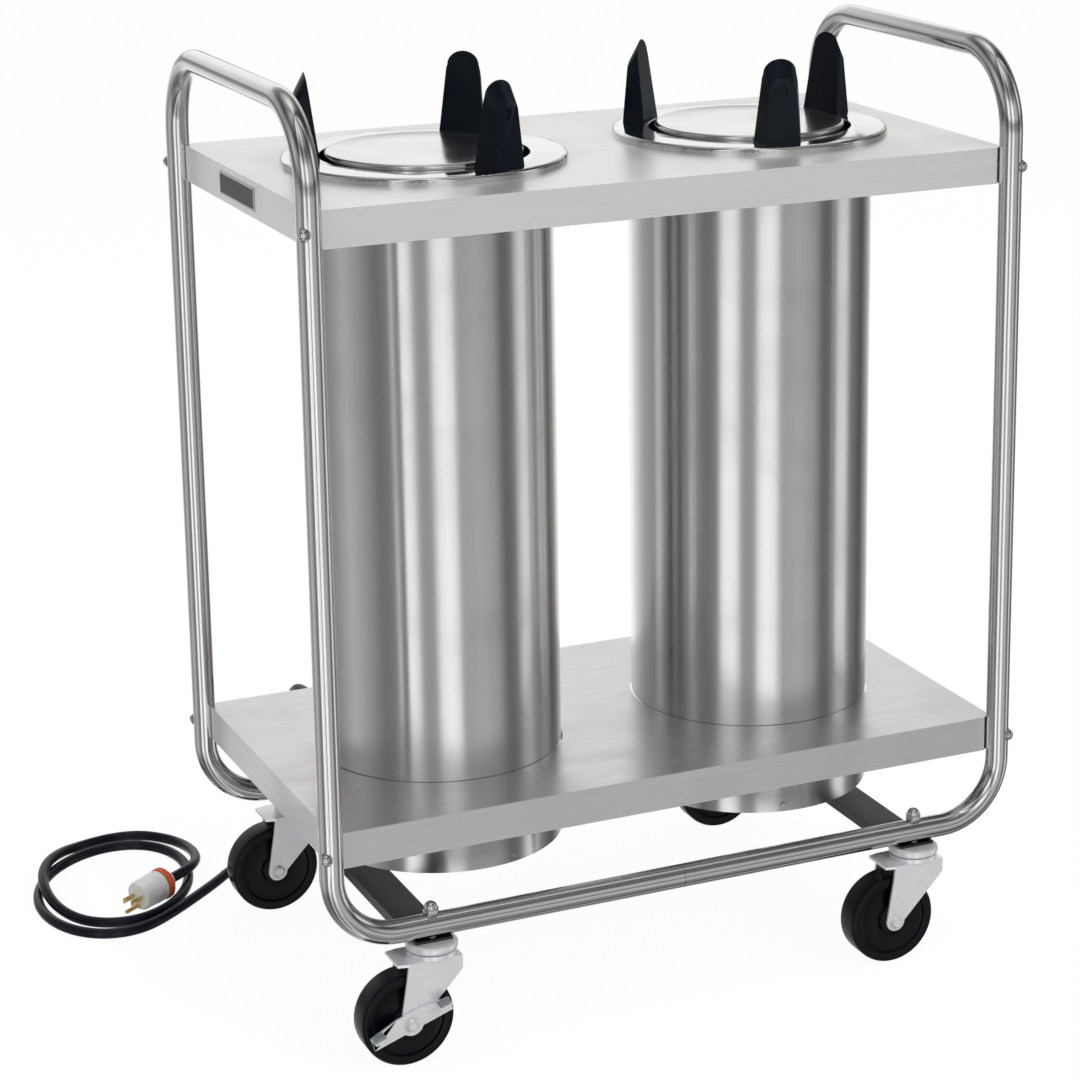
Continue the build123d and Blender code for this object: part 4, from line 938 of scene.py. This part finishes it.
class DISPENSER_OT_stage(bpy.types.Operator):
    """Pale floor, soft light, the studio that the metal mirrors, and the camera"""
    bl_idname = "dispenser.stage"
    bl_label = "Stage"

    def execute(self, context):
        settings = context.scene.dispenser_stage
        self.make_camera(context.scene, settings)
        self.make_floor()
        self.make_world(context.scene, settings.mirrored_light)
        self.make_lamp("key_light", (1.7, -3.6, 2.8), 2.4, settings.key_power)
        self.make_lamp("fill_light", (-3.2, -1.8, 2.6), 2.2, settings.fill_power)
        self.make_lamp("top_light", (0.4, 1.6, 3.6), 2.6, settings.fill_power)
        return {"FINISHED"}

    def make_camera(self, scene, settings):
        camera = bpy.data.cameras.new("camera")
        camera.lens = settings.lens
        camera.sensor_width = 36
        camera.shift_x = (PICTURE_MIDDLE - LENS_AXIS[0]) / PICTURE_WIDTH
        camera.shift_y = (LENS_AXIS[1] - PICTURE_MIDDLE) / PICTURE_WIDTH
        seat = bpy.data.objects.new("camera", camera)
        scene.collection.objects.link(seat)
        seat.matrix_world = (
            Matrix.Translation(settings.camera_place)
            @ Matrix.Rotation(-settings.heading, 4, "Z")
            @ Matrix.Rotation(pi / 2 - settings.tilt, 4, "X")
            @ Matrix.Rotation(-settings.roll, 4, "Z")
        )
        scene.camera = seat
        scene.view_settings.view_transform = "Standard"

    def make_floor(self):
        bm = bmesh.new()
        bmesh.ops.create_grid(bm, x_segments=1, y_segments=1, size=9)
        mesh = bpy.data.meshes.new("floor")
        bm.to_mesh(mesh)
        bm.free()
        floor = bpy.data.objects.new("floor", mesh)
        bpy.context.scene.collection.objects.link(floor)
        floor.visible_glossy = False
        material = bpy.data.materials.new("pale_floor")
        material.use_nodes = True
        nodes, links = material.node_tree.nodes, material.node_tree.links
        output = nodes["Material Output"]
        surface = nodes["Principled BSDF"]
        surface.inputs["Base Color"].default_value = (0.86, 0.86, 0.86, 1)
        surface.inputs["Roughness"].default_value = 0.9
        surface.inputs["Specular IOR Level"].default_value = 0
        glow = nodes.new("ShaderNodeEmission")
        glow.inputs["Strength"].default_value = 1.02
        path = nodes.new("ShaderNodeLightPath")
        mix = nodes.new("ShaderNodeMixShader")
        links.new(math_node(nodes, links, "MULTIPLY", path.outputs["Is Camera Ray"], 0.93),
                  mix.inputs["Fac"])
        links.new(surface.outputs["BSDF"], mix.inputs[1])
        links.new(glow.outputs["Emission"], mix.inputs[2])
        links.new(mix.outputs["Shader"], output.inputs["Surface"])
        mesh.materials.append(material)

    def make_world(self, scene, level):
        """White to the camera, soft grey as light, and a ring of soft boxes to what mirrors it."""
        world = bpy.data.worlds.new("studio")
        scene.world = world
        world.use_nodes = True
        nodes, links = world.node_tree.nodes, world.node_tree.links
        nodes.clear()
        direction = nodes.new("ShaderNodeTexCoord")
        parts = nodes.new("ShaderNodeSeparateXYZ")
        links.new(direction.outputs["Generated"], parts.inputs["Vector"])
        towards = math_node(nodes, links, "MULTIPLY", parts.outputs["Y"], -1.0)
        heading = math_node(nodes, links, "ARCTAN2", parts.outputs["X"], towards)
        turn = math_node(nodes, links, "MULTIPLY_ADD", heading, 1 / (2 * pi))
        turn.node.inputs[2].default_value = 0.5
        round_stops = [((angle + 180) / 360, level_there) for angle, level_there in STUDIO_LEVELS]
        height_stops = [((sin(radians(angle)) + 1) / 2, share) for angle, share in STUDIO_HEIGHTS]
        height = math_node(nodes, links, "MULTIPLY_ADD", parts.outputs["Z"], 0.5)
        height.node.inputs[2].default_value = 0.5
        ring = self.make_ramp(nodes, links, turn, round_stops)
        bands = self.make_ramp(nodes, links, height, height_stops)
        mirrored = nodes.new("ShaderNodeBackground")
        mirrored.inputs["Color"].default_value = (1, 1, 1, 1)
        shared = math_node(nodes, links, "MULTIPLY", ring, bands)
        links.new(math_node(nodes, links, "MULTIPLY", shared, level), mirrored.inputs["Strength"])
        soft = nodes.new("ShaderNodeBackground")
        soft.inputs["Color"].default_value = (1, 1, 1, 1)
        soft.inputs["Strength"].default_value = 0.62
        white = nodes.new("ShaderNodeBackground")
        white.inputs["Color"].default_value = (1, 1, 1, 1)
        white.inputs["Strength"].default_value = 1.0
        path = nodes.new("ShaderNodeLightPath")
        glossy = nodes.new("ShaderNodeMixShader")
        links.new(path.outputs["Is Glossy Ray"], glossy.inputs["Fac"])
        links.new(soft.outputs["Background"], glossy.inputs[1])
        links.new(mirrored.outputs["Background"], glossy.inputs[2])
        seen = nodes.new("ShaderNodeMixShader")
        straight = math_node(nodes, links, "MAXIMUM", path.outputs["Is Camera Ray"],
                             path.outputs["Is Transmission Ray"])
        links.new(straight, seen.inputs["Fac"])
        links.new(glossy.outputs["Shader"], seen.inputs[1])
        links.new(white.outputs["Background"], seen.inputs[2])
        output = nodes.new("ShaderNodeOutputWorld")
        links.new(seen.outputs["Shader"], output.inputs["Surface"])

    def make_ramp(self, nodes, links, position, stops):
        """A grey ramp over the position, from (place, level) pairs in order."""
        ramp = nodes.new("ShaderNodeValToRGB")
        marks = ramp.color_ramp.elements
        marks[0].position, marks[1].position = stops[0][0], stops[-1][0]
        for place, level in stops[1:-1]:
            marks.new(place)
        for mark, (place, level) in zip(marks, stops):
            mark.color = (level, level, level, 1)
        links.new(position, ramp.inputs["Fac"])
        return ramp.outputs["Color"]

    def make_lamp(self, name, place, size, power):
        """A large square lamp that points at the middle of the object and isn't mirrored."""
        light = bpy.data.lights.new(name, "AREA")
        light.size = size
        light.energy = power
        lamp = bpy.data.objects.new(name, light)
        bpy.context.scene.collection.objects.link(lamp)
        lamp.location = place
        towards = Vector((0, 0, 0.5)) - Vector(place)
        lamp.rotation_euler = towards.to_track_quat("-Z", "Y").to_euler()
        lamp.visible_glossy = False


class DISPENSER_PT_panel(bpy.types.Panel):
    """Buttons for each group of pieces, and the settings they read"""
    bl_idname = "DISPENSER_PT_panel"
    bl_label = "Plate dispenser"
    bl_space_type = "VIEW_3D"
    bl_region_type = "UI"
    bl_category = "Plate dispenser"

    def draw(self, context):
        for operator in PIECE_OPERATORS:
            self.layout.operator(operator.bl_idname)
        for settings in (context.scene.dispenser_steel, context.scene.dispenser_moulding,
                         context.scene.dispenser_cord, context.scene.dispenser_stage):
            for name in settings.__annotations__:
                self.layout.prop(settings, name)


PIECE_OPERATORS = (
    DISPENSER_OT_stage,
    DISPENSER_OT_cord,
    DISPENSER_OT_frame_tubes,
    DISPENSER_OT_pans,
    DISPENSER_OT_shells,
    DISPENSER_OT_collars,
    DISPENSER_OT_carriers,
    DISPENSER_OT_guide_posts,
    DISPENSER_OT_casters,
    DISPENSER_OT_fasteners,
    DISPENSER_OT_electrics,
)
SETTINGS = (
    ("dispenser_steel", SteelSettings),
    ("dispenser_moulding", MouldingSettings),
    ("dispenser_cord", CordSettings),
    ("dispenser_stage", StageSettings),
)


def register():
    """Adds the settings, the operators and the panel."""
    for name, settings in SETTINGS:
        bpy.utils.register_class(settings)
        setattr(bpy.types.Scene, name, PointerProperty(type=settings))
    for operator in PIECE_OPERATORS:
        bpy.utils.register_class(operator)
    bpy.utils.register_class(DISPENSER_PT_panel)


def unregister():
    """Takes them away again."""
    bpy.utils.unregister_class(DISPENSER_PT_panel)
    for operator in reversed(PIECE_OPERATORS):
        bpy.utils.unregister_class(operator)
    for name, settings in reversed(SETTINGS):
        delattr(bpy.types.Scene, name)
        bpy.utils.unregister_class(settings)


def main():
    """Builds every piece."""
    register()
    make_materials(bpy.context.scene)
    for operator in PIECE_OPERATORS:
        group, name = operator.bl_idname.split(".")
        getattr(getattr(bpy.ops, group), name)()


if __name__ == "__main__":
    main()
